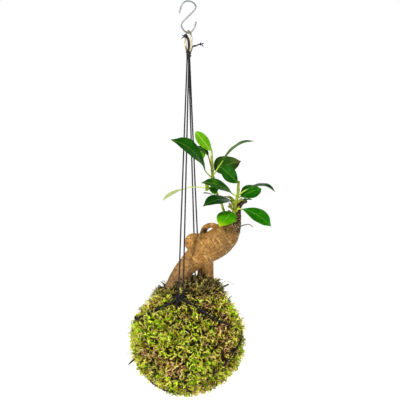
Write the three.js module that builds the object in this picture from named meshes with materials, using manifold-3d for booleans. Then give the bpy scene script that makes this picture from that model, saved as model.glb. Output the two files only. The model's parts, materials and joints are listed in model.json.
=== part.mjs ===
// Hanging moss ball with a grafted fig growing out of it, on an S-hook and a brass ring.
// Millimetres, +Z up, the front faces -Y. The origin is where the S-hook's upper bend sits on a rail.
import * as THREE from 'three';
import { mergeVertices } from 'three/addons/utils/BufferGeometryUtils.js';
import Module from 'manifold-3d';

const wasm = await Module();
wasm.setup();

// clearance left between pieces that touch
const gap = 0.35;
const cordRadius = 0.9;
const cordSides = 6;
const hookWire = { radius: 1.0, sides: 8, steps: 34 };
const ring = { centre: [0.6, 0, -48.9], radius: 12.8, wire: 1.15, turn: -1.26, lean: 0.1 };
const ball = {
  centre: new THREE.Vector3(-1.5, 0, -417), radius: 69, soil: 58, detail: 12, soilDetail: 3,
};
// flattened underside the ball can rest on
const foot = { radius: 12.5, depth: 72.5 };
const leafThickness = 0.7;
const stalkRadius = 0.85;

const colours = {
  steel: 0xb9bdc0,
  brass: 0xc4a664,
  cord: 0x17171b,
  moss: 0x8a9430,
  soil: 0x3a2a1c,
  bark: 0xa8763a,
  shoot: 0xa9bf3e,
  leafDark: 0x1f5a1c,
  leafMid: 0x2f8a1e,
  leafYoung: 0x6cc01e,
  leafPale: 0xb4c878,
};

const finishes = {
  metal: { roughness: 0.22, metalness: 1 },
  cord: { roughness: 0.7, metalness: 0 },
  dull: { roughness: 0.95, metalness: 0 },
  bark: { roughness: 0.75, metalness: 0 },
  glossy: { roughness: 0.32, metalness: 0 },
};

const model = new THREE.Group();

function vector(values) {
  return new THREE.Vector3(values[0], values[1], values[2]);
}

// turns a closed three.js geometry into a solid
function solidFrom(geometry) {
  const bare = geometry.clone();
  bare.deleteAttribute('normal');
  bare.deleteAttribute('uv');
  const merged = mergeVertices(bare, 1e-4);
  const vertProperties = new Float32Array(merged.attributes.position.array);
  const triVerts = new Uint32Array(merged.index.array);
  return new wasm.Manifold(new wasm.Mesh({ numProp: 3, vertProperties, triVerts }));
}

// the biggest of the separate bits a cut leaves behind
function largest(solid) {
  const bits = solid.decompose();
  bits.sort((a, b) => b.volume() - a.volume());
  return bits[0];
}

function place(name, solid, colour, finish) {
  const mesh = largest(solid).getMesh();
  const corners = new Float32Array(mesh.vertProperties);
  const geometry = new THREE.BufferGeometry();
  geometry.setAttribute('position', new THREE.BufferAttribute(corners, 3));
  geometry.setIndex(new THREE.BufferAttribute(new Uint32Array(mesh.triVerts), 1));
  geometry.computeVertexNormals();
  const material = new THREE.MeshStandardMaterial({ color: colour, ...finish });
  const node = new THREE.Mesh(geometry, material);
  node.name = name;
  model.add(node);
}

function join(solids) {
  return solids.reduce((whole, piece) => whole.add(piece));
}

// closed skin over rings of equally many points, joined end to end or closed by a fan over each end
function skin(rings, endless = false) {
  const sides = rings[0].length;
  const positions = [];
  const index = [];
  rings.forEach((points) => points.forEach((p) => positions.push(p.x, p.y, p.z)));
  const strips = endless ? rings.length : rings.length - 1;
  for (let row = 0; row < strips; row += 1) {
    const next = ((row + 1) % rings.length) * sides;
    for (let side = 0; side < sides; side += 1) {
      const a = row * sides + side;
      const b = row * sides + ((side + 1) % sides);
      const c = next + side;
      const d = next + ((side + 1) % sides);
      index.push(a, b, d, a, d, c);
    }
  }
  const capped = endless ? [] : [0, rings.length - 1];
  capped.forEach((row) => {
    const middle = new THREE.Vector3();
    rings[row].forEach((p) => middle.addScaledVector(p, 1 / sides));
    const hub = positions.length / 3;
    positions.push(middle.x, middle.y, middle.z);
    for (let side = 0; side < sides; side += 1) {
      const a = row * sides + side;
      const b = row * sides + ((side + 1) % sides);
      index.push(hub, row === 0 ? b : a, row === 0 ? a : b);
    }
  });
  const geometry = new THREE.BufferGeometry();
  geometry.setAttribute('position', new THREE.Float32BufferAttribute(positions, 3));
  geometry.setIndex(index);
  return solidFrom(geometry);
}

// round bar through a list of points with a radius at each, its frame carried along without twist
function bar(points, radii, sides, lobes = 0) {
  const tangents = points.map((p, i) => {
    const before = points[Math.max(i - 1, 0)];
    const after = points[Math.min(i + 1, points.length - 1)];
    return after.clone().sub(before).normalize();
  });
  const start = Math.abs(tangents[0].y) < 0.9 ? new THREE.Vector3(0, 1, 0) : new THREE.Vector3(1, 0, 0);
  const normal = start.addScaledVector(tangents[0], -start.dot(tangents[0])).normalize();
  const rings = points.map((p, i) => {
    normal.addScaledVector(tangents[i], -normal.dot(tangents[i])).normalize();
    const across = tangents[i].clone().cross(normal);
    return Array.from({ length: sides }, (unused, side) => {
      const angle = (side / sides) * Math.PI * 2;
      const swell = 1 + lobes * Math.sin(angle * 3 + i * 0.7) * Math.sin(i * 1.9 + angle);
      return p.clone()
        .addScaledVector(normal, Math.cos(angle) * radii[i] * swell)
        .addScaledVector(across, Math.sin(angle) * radii[i] * swell);
    });
  });
  return skin(rings);
}

// stations are [x, y, z, radius]; extra thickens the bar evenly and lengthens its ends
function sweep(stations, sides, steps, extra = 0, lobes = 0) {
  const path = new THREE.CatmullRomCurve3(stations.map(vector));
  const girths = new THREE.CatmullRomCurve3(
    stations.map((s, i) => new THREE.Vector3(s[3], i, 0)),
    false,
    'catmullrom',
    0.5,
  );
  const points = [];
  const radii = [];
  for (let i = 0; i <= steps; i += 1) {
    points.push(path.getPoint(i / steps));
    radii.push(girths.getPoint(i / steps).x + extra);
  }
  points[0].addScaledVector(path.getTangent(0), -extra);
  points[steps].addScaledVector(path.getTangent(1), extra);
  return bar(points, radii, sides, lobes);
}

function ballOf(centre, radius, detail) {
  const geometry = new THREE.IcosahedronGeometry(radius, detail);
  geometry.translate(centre[0], centre[1], centre[2]);
  return solidFrom(geometry);
}

// endless cord lying on the ball through the given points
function loopOnBall(points, radius, sides) {
  const rings = points.map((p, i) => {
    const after = points[(i + 1) % points.length];
    const before = points[(i + points.length - 1) % points.length];
    const tangent = after.clone().sub(before).normalize();
    const normal = p.clone().sub(ball.centre);
    normal.addScaledVector(tangent, -normal.dot(tangent)).normalize();
    const across = tangent.clone().cross(normal);
    return Array.from({ length: sides }, (unused, side) => {
      const angle = (side / sides) * Math.PI * 2;
      return p.clone().addScaledVector(normal, Math.cos(angle) * radius)
        .addScaledVector(across, Math.sin(angle) * radius);
    });
  });
  return skin(rings, true);
}

// ---- hook and ring ----

const hookLine = [
  [-10.8, -13.8], [-9.3, -8.7], [-7.4, -3.4], [-4.2, 0.1], [0, 1.0], [4.1, 0.2], [7.9, -2.4],
  [9.7, -6.2], [7.9, -10.3], [3.5, -15], [-2.9, -21.2], [-6.8, -25.2], [-8.1, -28.8], [-6.9, -32.8],
  [-3.6, -36.8], [0.6, -38.7], [4.4, -36.9], [7.3, -33.2], [8.9, -29.3], [10.2, -24.4],
];

function hook(extra = 0) {
  const stations = hookLine.map(([x, z]) => [x, 0, z, hookWire.radius]);
  return sweep(stations, hookWire.sides, hookWire.steps, extra);
}

function ringSolid(extra = 0) {
  const geometry = new THREE.TorusGeometry(ring.radius, ring.wire + extra, 8, 24);
  geometry.rotateX(Math.PI / 2);
  geometry.rotateZ(ring.turn);
  geometry.rotateX(ring.lean);
  geometry.translate(ring.centre[0], ring.centre[1], ring.centre[2]);
  return solidFrom(geometry);
}

// ---- knots and cords ----

const arcLap = 0.08;

// overhand knot lying flat against `outward`, with its long side along `along`
function knot(centre, outward, along, size, extra = 0) {
  const up = along.clone().addScaledVector(outward, -along.dot(outward)).normalize();
  const side = up.clone().cross(outward);
  const spread = (size.width / 2 - size.strand) / 3;
  const stretch = size.height / size.width;
  const pointAt = (turn) => {
    const angle = turn * Math.PI * 2;
    const across = (Math.sin(angle) + 2 * Math.sin(2 * angle)) * spread;
    const upward = (Math.cos(angle) - 2 * Math.cos(2 * angle)) * spread * stretch;
    const rise = -Math.sin(3 * angle) * (size.strand + 0.12);
    return centre.clone().addScaledVector(side, across)
      .addScaledVector(up, upward).addScaledVector(outward, rise);
  };
  // three arcs that lap at their ends, so that the strand is fused where it crosses itself
  const arcs = [0, 1, 2].map((third) => {
    const points = Array.from({ length: size.steps + 1 }, (unused, i) => (
      pointAt((third + (i / size.steps) * (1 + arcLap)) / 3)
    ));
    return bar(points, points.map(() => size.strand + extra), 5);
  });
  const core = ballOf([centre.x, centre.y, centre.z], size.width * 0.27 + extra * 4, 0);
  return join([...arcs, core]);
}

// steps are for each third of a knot's strand
const netKnot = { width: 13, height: 15, strand: 1.3, steps: 7 };
const sideKnot = { width: 8.5, height: 9, strand: 1.0, steps: 5 };

// moss mounded up round the legs and pressed in at the shoulders
const mounds = [
  { toward: vector([0.3, 0.1, 0.95]).normalize(), rise: 10, spread: 0.28 },
  { toward: vector([0.56, 0.0, 0.83]).normalize(), rise: 3, spread: 0.25 },
  { toward: vector([0.02, -0.35, 0.93]).normalize(), rise: 3, spread: 0.3 },
  { toward: vector([-0.74, -0.1, 0.66]).normalize(), rise: -4.5, spread: 0.45 },
  { toward: vector([0.8, 0, 0.6]).normalize(), rise: -3.5, spread: 0.4 },
  { toward: vector([-0.6, -0.1, -0.79]).normalize(), rise: -1.5, spread: 0.4 },
];

// radius of the moss, before tufts, in a direction from the ball's centre
function mossRadius(toward) {
  const lumps = 1.3 * Math.sin(5.3 * toward.x + 1.1) * Math.sin(4.7 * toward.y - 0.6)
    + 0.9 * Math.sin(6.9 * toward.z + 3.1 * toward.x + 2.0);
  const mounding = mounds.reduce((sum, mound) => {
    const away = toward.distanceTo(mound.toward) / mound.spread;
    return sum + mound.rise * Math.exp(-away * away);
  }, 0);
  return ball.radius + lumps + mounding;
}

function onBall(toward, lift) {
  const unit = toward.clone().normalize();
  return unit.multiplyScalar(mossRadius(unit) + lift).add(ball.centre);
}

const knotFrontWay = vector([-0.122, -0.668, 0.734]).normalize();
const knotRearWay = vector([0.15, 0.66, 0.735]).normalize();
const knotLeftWay = vector([-0.93, 0.1, 0.36]).normalize();
const knotRightWay = vector([0.998, -0.03, 0.03]).normalize();
const knotLift = 1.9;
const cordLift = 0.25;

const slingWays = {
  sling_front_left: [knotFrontWay, vector([-0.26, -0.69, 0.67]), vector([-0.49, -0.65, 0.58]),
    vector([-0.73, -0.5, 0.46]), vector([-0.877, -0.3, 0.37]), knotLeftWay],
  sling_front_right: [knotFrontWay, vector([0.176, -0.79, 0.58]), vector([0.41, -0.8, 0.44]),
    vector([0.588, -0.73, 0.352]), vector([0.857, -0.48, 0.206]), knotRightWay],
  sling_rear_left: [knotRearWay, vector([-0.25, 0.72, 0.65]), vector([-0.62, 0.57, 0.54]),
    vector([-0.85, 0.36, 0.4]), knotLeftWay],
  sling_rear_right: [knotRearWay, vector([0.45, 0.69, 0.57]), vector([0.74, 0.6, 0.33]),
    vector([0.93, 0.3, 0.14]), knotRightWay],
};

const cradleWays = [
  knotRightWay, vector([0.854, -0.49, -0.166]), vector([0.709, -0.616, -0.346]),
  vector([0.53, -0.66, -0.536]), vector([0.26, -0.5, -0.83]), vector([-0.1, -0.36, -0.93]),
  vector([-0.61, -0.21, -0.765]), vector([-0.86, 0.05, -0.5]), vector([-0.985, 0.1, -0.12]),
  knotLeftWay, vector([-0.92, 0.4, -0.02]), vector([-0.64, 0.62, -0.46]),
  vector([-0.2, 0.56, -0.8]), vector([0.35, 0.54, -0.77]), vector([0.76, 0.48, -0.43]),
];

// points of a cord pressed into the moss
function seated(ways, steps, closed) {
  const curve = new THREE.CatmullRomCurve3(ways.map((way) => way.clone().normalize()), closed);
  const count = closed ? steps : steps + 1;
  return Array.from({ length: count }, (unused, i) => onBall(curve.getPoint(i / steps), cordLift));
}

const slings = Object.fromEntries(
  Object.entries(slingWays).map(([name, ways]) => [name, seated(ways, 12, false)]),
);
const cradle = seated(cradleWays, 42, true);

function knotOnBall(way, size, extra = 0) {
  return knot(onBall(way, knotLift), way, new THREE.Vector3(0, 0, 1), size, extra);
}

function frontKnot(extra = 0) {
  return knotOnBall(knotFrontWay, netKnot, extra);
}

function rearKnot(extra = 0) {
  return knotOnBall(knotRearWay, netKnot, extra);
}

function sideKnots(extra = 0) {
  return [knotLeftWay, knotRightWay].map((way) => knotOnBall(way, sideKnot, extra));
}

// loose ends of a knot, each given as stations
function tails(list, extra = 0) {
  return list.map((stations) => sweep(stations, cordSides, 3, extra));
}

const strings = {
  string_front_left: [[-0.9, -1.6, -67.5], [-11.2, -46.0, -360.2]],
  string_front_right: [[1.15, -2.1, -67.5], [-5.5, -45.9, -359.6]],
  string_rear_left: [[0.6, 0.5, -67.5], [9.2, 46.4, -358.5]],
  string_rear_right: [[1.9, 2.2, -67.5], [14.8, 46.6, -360.2]],
};

// cord bound under the ring, its two loose ends sticking out above
function topKnot(extra = 0) {
  const bottom = ring.centre[2] - ring.radius;
  const x = ring.centre[0];
  const loop = new THREE.TorusGeometry(ring.wire + cordRadius + 0.6, cordRadius + extra, 6, 12);
  loop.rotateX(Math.PI / 2);
  loop.translate(x, 0, bottom);
  const binding = sweep([
    [x, 0, bottom - 2.0, 1.2], [x + 0.1, 0, bottom - 3.0, 3.0], [x + 0.3, 0, bottom - 4.4, 3.5],
    [x + 0.5, 0, bottom - 5.8, 3.3], [x + 0.5, 0, bottom - 6.6, 2.4],
  ], 8, 5, extra);
  const turns = [-3.4, -5.0].map((drop, i) => {
    const turn = new THREE.TorusGeometry(3.2, cordRadius + extra, 5, 12);
    turn.rotateY(i === 0 ? 0.3 : -0.22);
    turn.translate(x + 0.35, 0, bottom + drop);
    return solidFrom(turn);
  });
  const inner = sweep([
    [x + 0.1, 0, bottom + 2.2, 1.1], [x + 0.5, -0.4, bottom + 8, 1.5],
    [x + 0.1, -0.6, bottom + 13.5, 1.8], [x - 1.4, -0.6, bottom + 18, 2.2],
    [x - 3.6, -0.6, bottom + 19.6, 2.4], [x - 5.2, -0.6, bottom + 19.3, 2.0],
    [x - 7.0, -0.6, bottom + 20.5, 0.8],
  ], 6, 12, extra);
  const split = sweep([
    [x - 4.8, -0.6, bottom + 19.4, 1.0], [x - 6.3, -0.8, bottom + 18.2, 1.0],
    [x - 7.6, -0.9, bottom + 17.4, 0.6],
  ], 5, 2, extra);
  const tail = sweep([
    [x + 1.6, -0.5, bottom - 2.2, 1.1], [x + 3.6, -1.2, bottom + 1.4, 1.2],
    [x + 5.4, -1.6, bottom + 6.2, 1.2], [x + 8.6, -1.8, bottom + 6.8, 1.0],
    [x + 12.6, -2.0, bottom + 8.7, 1.0], [x + 15.8, -2.0, bottom + 9.4, 1.3],
    [x + 18.0, -2.0, bottom + 9.9, 0.8],
  ], cordSides, 10, extra);
  const fork = sweep([
    [x + 15.4, -2.0, bottom + 9.2, 0.9], [x + 17.2, -2.1, bottom + 7.6, 0.9],
    [x + 18.2, -2.2, bottom + 6.4, 0.5],
  ], 5, 2, extra);
  return join([solidFrom(loop), binding, ...turns, inner, split, tail, fork]);
}

// ---- trunk ----

const trunkStations = [
  [-26, -10, -397, 7.6], [-24.4, -10, -376, 9.6], [-19.6, -10, -358.5, 10.2], [-10.6, -9, -339.6, 11],
  [3.6, -6, -322.8, 12.9], [20.6, -3, -308.6, 17.1], [36.8, -1, -298.3, 18.2], [49.0, 0, -287.4, 15.6],
  [57.0, 0, -274.2, 9.2], [60.2, 0, -261.4, 5.7], [61.8, 0, -251.5, 4.7],
];
const sideRootStations = [
  [8.5, 1, -299, 6.5], [6.4, 0, -309.8, 6.6], [-2.6, -1, -322.4, 7.6], [-11.4, -4, -336.5, 7.2],
  [-20.0, -6, -353, 7.0], [-23.5, -8, -371, 6.0],
];
const rightLegStations = [
  [23, 8, -303, 9.6], [22.2, 10, -318, 9.6], [21.8, 11, -334, 10.2], [21.4, 11, -352, 10.8],
  [19.6, 10, -371, 9.4], [17.4, 8, -393, 7.4],
];
const earStations = [
  [17.5, 3, -297, 4.8], [18.8, 3, -287.5, 3.9], [21.4, 3, -280.2, 3.5], [28.2, 3, -276.9, 3.1],
  [35.4, 2, -279.0, 3.8], [42.0, 1, -286.0, 5.6],
];
const stubStations = [
  [61.0, 0, -254.5, 4.0], [66.0, 1, -249.3, 3.4], [72.4, 2, -245.6, 2.9],
];
const hairRootStations = [
  [63, 0, -279.2, 0.9], [70, -1, -276.4, 0.6], [76.6, -2, -276, 0.5], [80.2, -2, -279.3, 0.45],
];
const trunkKnob = { centre: [7.4, 3, -298.4], radius: 11.8 };
const trunkSwelling = { centre: [13.2, -2.2, -291.8], radius: 5.2 };

function trunk(extra = 0) {
  return join([
    sweep(trunkStations, 14, 24, extra, 0.035),
    sweep(sideRootStations, 10, 10, extra, 0.03),
    sweep(rightLegStations, 10, 8, extra, 0.03),
    sweep(earStations, 8, 9, extra, 0.03),
    sweep(stubStations, 7, 3, extra),
    sweep(hairRootStations, 5, 5, extra),
    ballOf(trunkKnob.centre, trunkKnob.radius + extra, 2),
    ballOf(trunkSwelling.centre, trunkSwelling.radius + extra, 0),
  ]);
}

// ---- shoots ----

const stemAStations = [
  [57.6, -3, -276.5, 2.6], [57.3, -8.6, -269, 2.3], [57.3, -9.8, -260.1, 2.0], [58.6, -9, -251, 2.2],
  [60.4, -7.6, -244.5, 1.9], [62.1, -6, -235, 1.8], [62.4, -6, -226, 1.6], [63.2, -6, -221.8, 1.2],
];
const stemBStations = [
  [49, 1, -278, 2.0], [45.2, 2, -262, 1.6], [41, 4, -248.5, 1.6], [35.6, 3.5, -236.6, 1.7],
  [31.8, 1, -222.9, 2.0], [30.2, 0, -211, 1.8], [29.6, 0, -195.7, 1.6], [29.2, 0, -184, 1.1],
];
const twigStations = [
  [58.8, -6, -248.5, 1.1], [54, -2, -244.5, 0.95], [47.5, 3.5, -241.5, 0.9], [41.5, 4.5, -243, 1.0],
];
const budTwigStations = [
  [34.6, 3, -232.6, 1.2], [30, 0, -231.4, 1.5], [24.5, -3, -230.8, 1.5], [21, -4, -230.6, 0.8],
];

function stemA(extra = 0) {
  return sweep(stemAStations, 7, 10, extra);
}

function stemB(extra = 0) {
  return join([sweep(stemBStations, 7, 12, extra), sweep(budTwigStations, 6, 3, extra)]);
}

// ---- leaves ----

const leafRows = [0.08, 0.22, 0.4, 0.6, 0.77, 0.91, 1];
const leafColumns = [-1, -0.5, 0, 0.5, 1];
const scaleRows = [0, 0.3, 0.65, 1];
const scaleColumns = [-1, 0, 1];

// half width along the blade as a share of the widest, with a drawn-out tip
function bladeOutline(u, fullest) {
  const shifted = u ** (Math.log(0.5) / Math.log(fullest));
  const oval = Math.sin(Math.PI * Math.min(Math.max(shifted, 0), 1)) ** 0.82;
  const tip = 1 - 0.35 * THREE.MathUtils.smoothstep(u, 0.82, 0.97);
  return Math.max(oval * tip, u < 0.5 ? 0.07 : 0.035);
}

function bladeFrame(leaf) {
  const base = vector(leaf.base);
  const tip = vector(leaf.tip);
  const axis = tip.clone().sub(base).normalize();
  const face = vector(leaf.face);
  face.addScaledVector(axis, -face.dot(axis)).normalize();
  const across = axis.clone().cross(face);
  const middle = base.clone().lerp(tip, 0.5).addScaledVector(face, leaf.arch * 2);
  const line = new THREE.QuadraticBezierCurve3(base, middle, tip);
  return { face, across, line };
}

// cross rows of a blade, folded along the midrib and waved at the edges
function bladeSections(leaf, rows) {
  const { face, across, line } = bladeFrame(leaf);
  const fold = leaf.fold ?? 0.2;
  const curl = leaf.curl ?? 0;
  return rows.map((u) => {
    const half = bladeOutline(u, leaf.fullest ?? 0.52) * leaf.width / 2;
    return {
      centre: line.getPoint(u).addScaledVector(face, -curl * Math.max(u - 0.6, 0) ** 2 * 6),
      across,
      upward: across.clone().cross(line.getTangent(u)).normalize(),
      half,
      thickness: leafThickness,
      rise: (v) => Math.abs(v) * half * fold + 0.05 * half * v * v * Math.sin(u * 9 + (v > 0 ? 1.2 : 0)),
    };
  });
}

// cross rows of a stalk, from the stem through any bends to the foot of the blade
function stalkSections(leaf) {
  const { across, line } = bladeFrame(leaf);
  const radius = leaf.stalkRadius ?? stalkRadius;
  const stops = [...leaf.stalk.map(vector), vector(leaf.base), line.getPoint(0.1)];
  const path = new THREE.CatmullRomCurve3(stops);
  const steps = leaf.stalk.length + 1;
  return Array.from({ length: steps + 1 }, (unused, i) => {
    const t = (i / steps) * (leaf.stalk.length / (leaf.stalk.length + 1));
    const tangent = path.getTangent(t);
    const level = across.clone().addScaledVector(tangent, -across.dot(tangent)).normalize();
    return {
      centre: path.getPoint(t),
      across: level,
      upward: level.clone().cross(tangent),
      half: radius,
      thickness: radius * 1.5,
      rise: () => 0,
    };
  });
}

// closed sheet over cross rows, its two faces triangulated alike
function sheet(sections, spread) {
  const columns = spread.length;
  const top = [];
  const bottom = [];
  sections.forEach(({ centre, across, upward, half, thickness, rise }) => {
    spread.forEach((v) => {
      const p = centre.clone().addScaledVector(across, v * half).addScaledVector(upward, rise(v));
      top.push(p.clone().addScaledVector(upward, thickness / 2));
      bottom.push(p.clone().addScaledVector(upward, -thickness / 2));
    });
  });
  const index = [];
  const offset = top.length;
  const last = sections.length - 1;
  for (let row = 0; row < last; row += 1) {
    for (let column = 0; column + 1 < columns; column += 1) {
      const a = row * columns + column;
      const b = a + 1;
      const c = a + columns;
      const d = c + 1;
      index.push(a, d, c, a, b, d);
      index.push(a + offset, c + offset, d + offset, a + offset, d + offset, b + offset);
    }
  }
  const rim = [];
  for (let column = 0; column + 1 < columns; column += 1) rim.push(column);
  for (let row = 0; row < last; row += 1) rim.push(row * columns + columns - 1);
  for (let column = columns - 1; column > 0; column -= 1) rim.push(last * columns + column);
  for (let row = last; row > 0; row -= 1) rim.push(row * columns);
  rim.forEach((a, i) => {
    const b = rim[(i + 1) % rim.length];
    index.push(a, a + offset, b + offset, a, b + offset, b);
  });
  const geometry = new THREE.BufferGeometry();
  const flat = [...top, ...bottom].flatMap((p) => [p.x, p.y, p.z]);
  geometry.setAttribute('position', new THREE.Float32BufferAttribute(flat, 3));
  geometry.setIndex(index);
  return solidFrom(geometry);
}

function leafSolid(leaf) {
  return sheet([...stalkSections(leaf), ...bladeSections(leaf, leafRows)], leafColumns);
}

function scale(leaf) {
  return sheet(bladeSections(leaf, scaleRows), scaleColumns);
}

const leaves = [
  { name: 'leaf_01', stalk: [[30.2, 0, -218.6], [26.8, -3.4, -215.6]], base: [21.5, -12, -209.5],
    tip: [-19.6, -42, -171.4], width: 25, face: [0.42, -0.7, 0.6], arch: 9, curl: 2, fullest: 0.6,
    colour: 'leafDark' },
  { name: 'leaf_02', stalk: [[29.4, 0, -192]], base: [28.5, -2.5, -184.5], tip: [9.8, -8, -160.8],
    width: 15, face: [-0.25, -0.95, 0.2], arch: 2, fold: 0.12, fullest: 0.6, colour: 'leafYoung' },
  { name: 'leaf_03', stalk: [[29.4, 1, -207]], base: [25.5, 4, -191.3], tip: [10.6, 8, -178.4],
    width: 13, face: [0.3, -0.45, 0.85], arch: 2, colour: 'leafDark' },
  { name: 'leaf_04', stalk: [[29.8, 1, -192], [28.6, 6.5, -182], [24.2, 12, -177]],
    base: [19.4, 14.5, -179], tip: [11.2, 18, -197], width: 14, face: [-0.2, -0.95, -0.1],
    arch: 1.5, colour: 'leafYoung' },
  { name: 'leaf_05', stalk: [[30.6, -1, -216.2], [35.5, -5, -208.5]], base: [42.6, -10, -197.6],
    tip: [79.8, -18, -170.8], width: 18, face: [-0.5, -0.06, 0.85], arch: 4.9, curl: 3.2,
    fold: 0.3, colour: 'leafDark' },
  { name: 'leaf_06', stalk: [[30.6, 1, -217], [30.2, 4, -211.4]], base: [32.8, 6.6, -207.8],
    tip: [66.2, 18, -197], width: 27, face: [0.1, -0.85, 0.5], arch: 2, fullest: 0.36, fold: 0.12,
    colour: 'leafDark' },
  { name: 'leaf_07', stalk: [[62.4, -6, -227.5]], base: [61.2, -9.5, -224.6], tip: [38.6, -21, -203.8],
    width: 19.5, face: [-0.15, -0.85, 0.5], arch: 1.5, colour: 'leafMid' },
  { name: 'leaf_08', stalk: [[61.2, -6.5, -241.8]], base: [54, -11, -237.2], tip: [16.8, -26, -223.4],
    width: 18, face: [0.1, -0.68, 0.73], arch: 4.4, curl: 2, colour: 'leafDark' },
  { name: 'leaf_09', stalk: [[34.8, 3, -232.6]], base: [36.6, -3, -227.9], tip: [33.2, -14.5, -239.2],
    width: 14, face: [-0.3, -0.4, 0.85], arch: 2, fold: 0.5, colour: 'leafMid' },
  { name: 'leaf_10', stalk: [[22, -3.5, -230.6], [13, -3, -229.8], [3.5, -2, -229.6]],
    base: [-6.8, -2, -232.5], tip: [-31.3, -5, -246.5], width: 10, face: [-0.3, -0.4, 0.85], arch: 2,
    stalkRadius: 0.7, colour: 'leafPale' },
  { name: 'leaf_11', stalk: [[34.2, 2.6, -234]], base: [28.4, -7, -238.2], tip: [18.5, -10, -237.2],
    width: 5, face: [0, -0.2, 1], arch: 0.6, stalkRadius: 0.6, colour: 'leafDark' },
  { name: 'leaf_12', stalk: [[59.4, -8, -249.2]], base: [55.2, -12, -247.8], tip: [18.3, -36, -253.6],
    width: 22, face: [-0.1, -0.6, 0.8], arch: 6.4, fold: 0.12, colour: 'leafDark' },
  { name: 'leaf_13', stalk: [[57.6, -9.6, -260]], base: [55.2, -14.2, -261], tip: [38.5, -28, -278.4],
    width: 25.5, face: [-0.35, -0.85, 0.4], arch: 1.5, fullest: 0.44, fold: 0.12, colour: 'leafMid' },
  { name: 'leaf_14', stalk: [[57.8, -9.6, -258.4], [62, -12, -256.4]], base: [66.4, -12, -256.6],
    tip: [102.2, -20, -278.2], width: 20, face: [0.25, -0.85, 0.45], arch: 6, fullest: 0.58,
    colour: 'leafMid' },
  { name: 'leaf_15', stalk: [[62, -6, -240.6], [66.5, -9, -236.5]], base: [73, -11, -232.2],
    tip: [107.2, -23, -232.6], width: 18, face: [0, -0.17, 1], arch: 4.8, curl: 3.4, fold: 0.24,
    colour: 'leafDark' },
  { name: 'leaf_16', stalk: [[61.6, -6, -243.4]], base: [65.4, 1.5, -241.4], tip: [92, 16, -231.6],
    width: 21, face: [0.1, -0.8, 0.6], arch: 2, fullest: 0.44, colour: 'leafMid' },
  { name: 'leaf_17', stalk: [[60.2, -7.6, -246.5]], base: [68.2, -8, -245.8], tip: [79.5, -8.5, -245.2],
    width: 6, face: [0, -0.3, 1], arch: 0.6, stalkRadius: 0.6, colour: 'leafDark' },
];

// small scales and unopened buds on the shoots
const scales = [
  { base: [55.8, -11, -259.5], tip: [50.2, -12, -248.5], width: 4, face: [0, -1, 0.2], arch: 0.8 },
  { base: [56.2, -10, -256.5], tip: [48.6, -8, -253.5], width: 3.6, face: [0.2, -0.8, 0.6], arch: 0.6 },
  { base: [59.5, -9, -248.5], tip: [49.5, -8, -240.2], width: 3.4, face: [0.1, -0.6, 0.8], arch: 0.8 },
];
const buds = [
  { base: [26, -3, -230.8], tip: [21.2, -5, -224.6], width: 4.2, face: [-0.4, -0.9, 0.2], arch: 0.8 },
  { base: [27, -3, -231.5], tip: [20.8, -6, -234.6], width: 3.8, face: [-0.2, -0.9, 0.4], arch: 0.8 },
  { base: [30, -1, -231.5], tip: [27.4, -6, -224.8], width: 3.6, face: [0.2, -0.9, 0.3], arch: 0.6 },
];

// ---- moss ----

function closestOnCords(point) {
  let nearest = { away: Infinity, radius: 0 };
  const lines = [...Object.values(slings), [...cradle, cradle[0]]];
  const spot = new THREE.Vector3();
  const segment = new THREE.Line3();
  const flatPoint = point.clone().sub(ball.centre).setLength(ball.radius).add(ball.centre);
  lines.forEach((line) => {
    for (let i = 0; i + 1 < line.length; i += 1) {
      segment.set(line[i], line[i + 1]);
      segment.closestPointToPoint(flatPoint, true, spot);
      const radius = spot.distanceTo(ball.centre);
      spot.sub(ball.centre).setLength(ball.radius).add(ball.centre);
      const away = spot.distanceTo(flatPoint);
      if (away < nearest.away) nearest = { away, radius };
    }
  });
  return nearest;
}

const knotPlaces = [
  { way: knotFrontWay, reach: 13.5 }, { way: knotRearWay, reach: 13.5 },
  { way: knotLeftWay, reach: 10.5 }, { way: knotRightWay, reach: 10.5 },
];

// how far out the moss may stand in a direction, and whether a tuft may grow there
function mossLimit(toward) {
  const surface = mossRadius(toward);
  const point = toward.clone().multiplyScalar(ball.radius).add(ball.centre);
  const cord = closestOnCords(point);
  const under = cord.radius - cordRadius - gap - 0.45;
  let limit = cord.away < 9 ? under + 0.3 * Math.max(cord.away - 1, 0) : Infinity;
  let tufty = cord.away > 8;
  knotPlaces.forEach((place) => {
    const away = toward.distanceTo(place.way) * ball.radius;
    if (away > place.reach) return;
    limit = Math.min(limit, mossRadius(place.way) + knotLift - netKnot.strand * 2 - gap - 0.8);
    tufty = false;
  });
  return { surface, limit, tufty };
}

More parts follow.
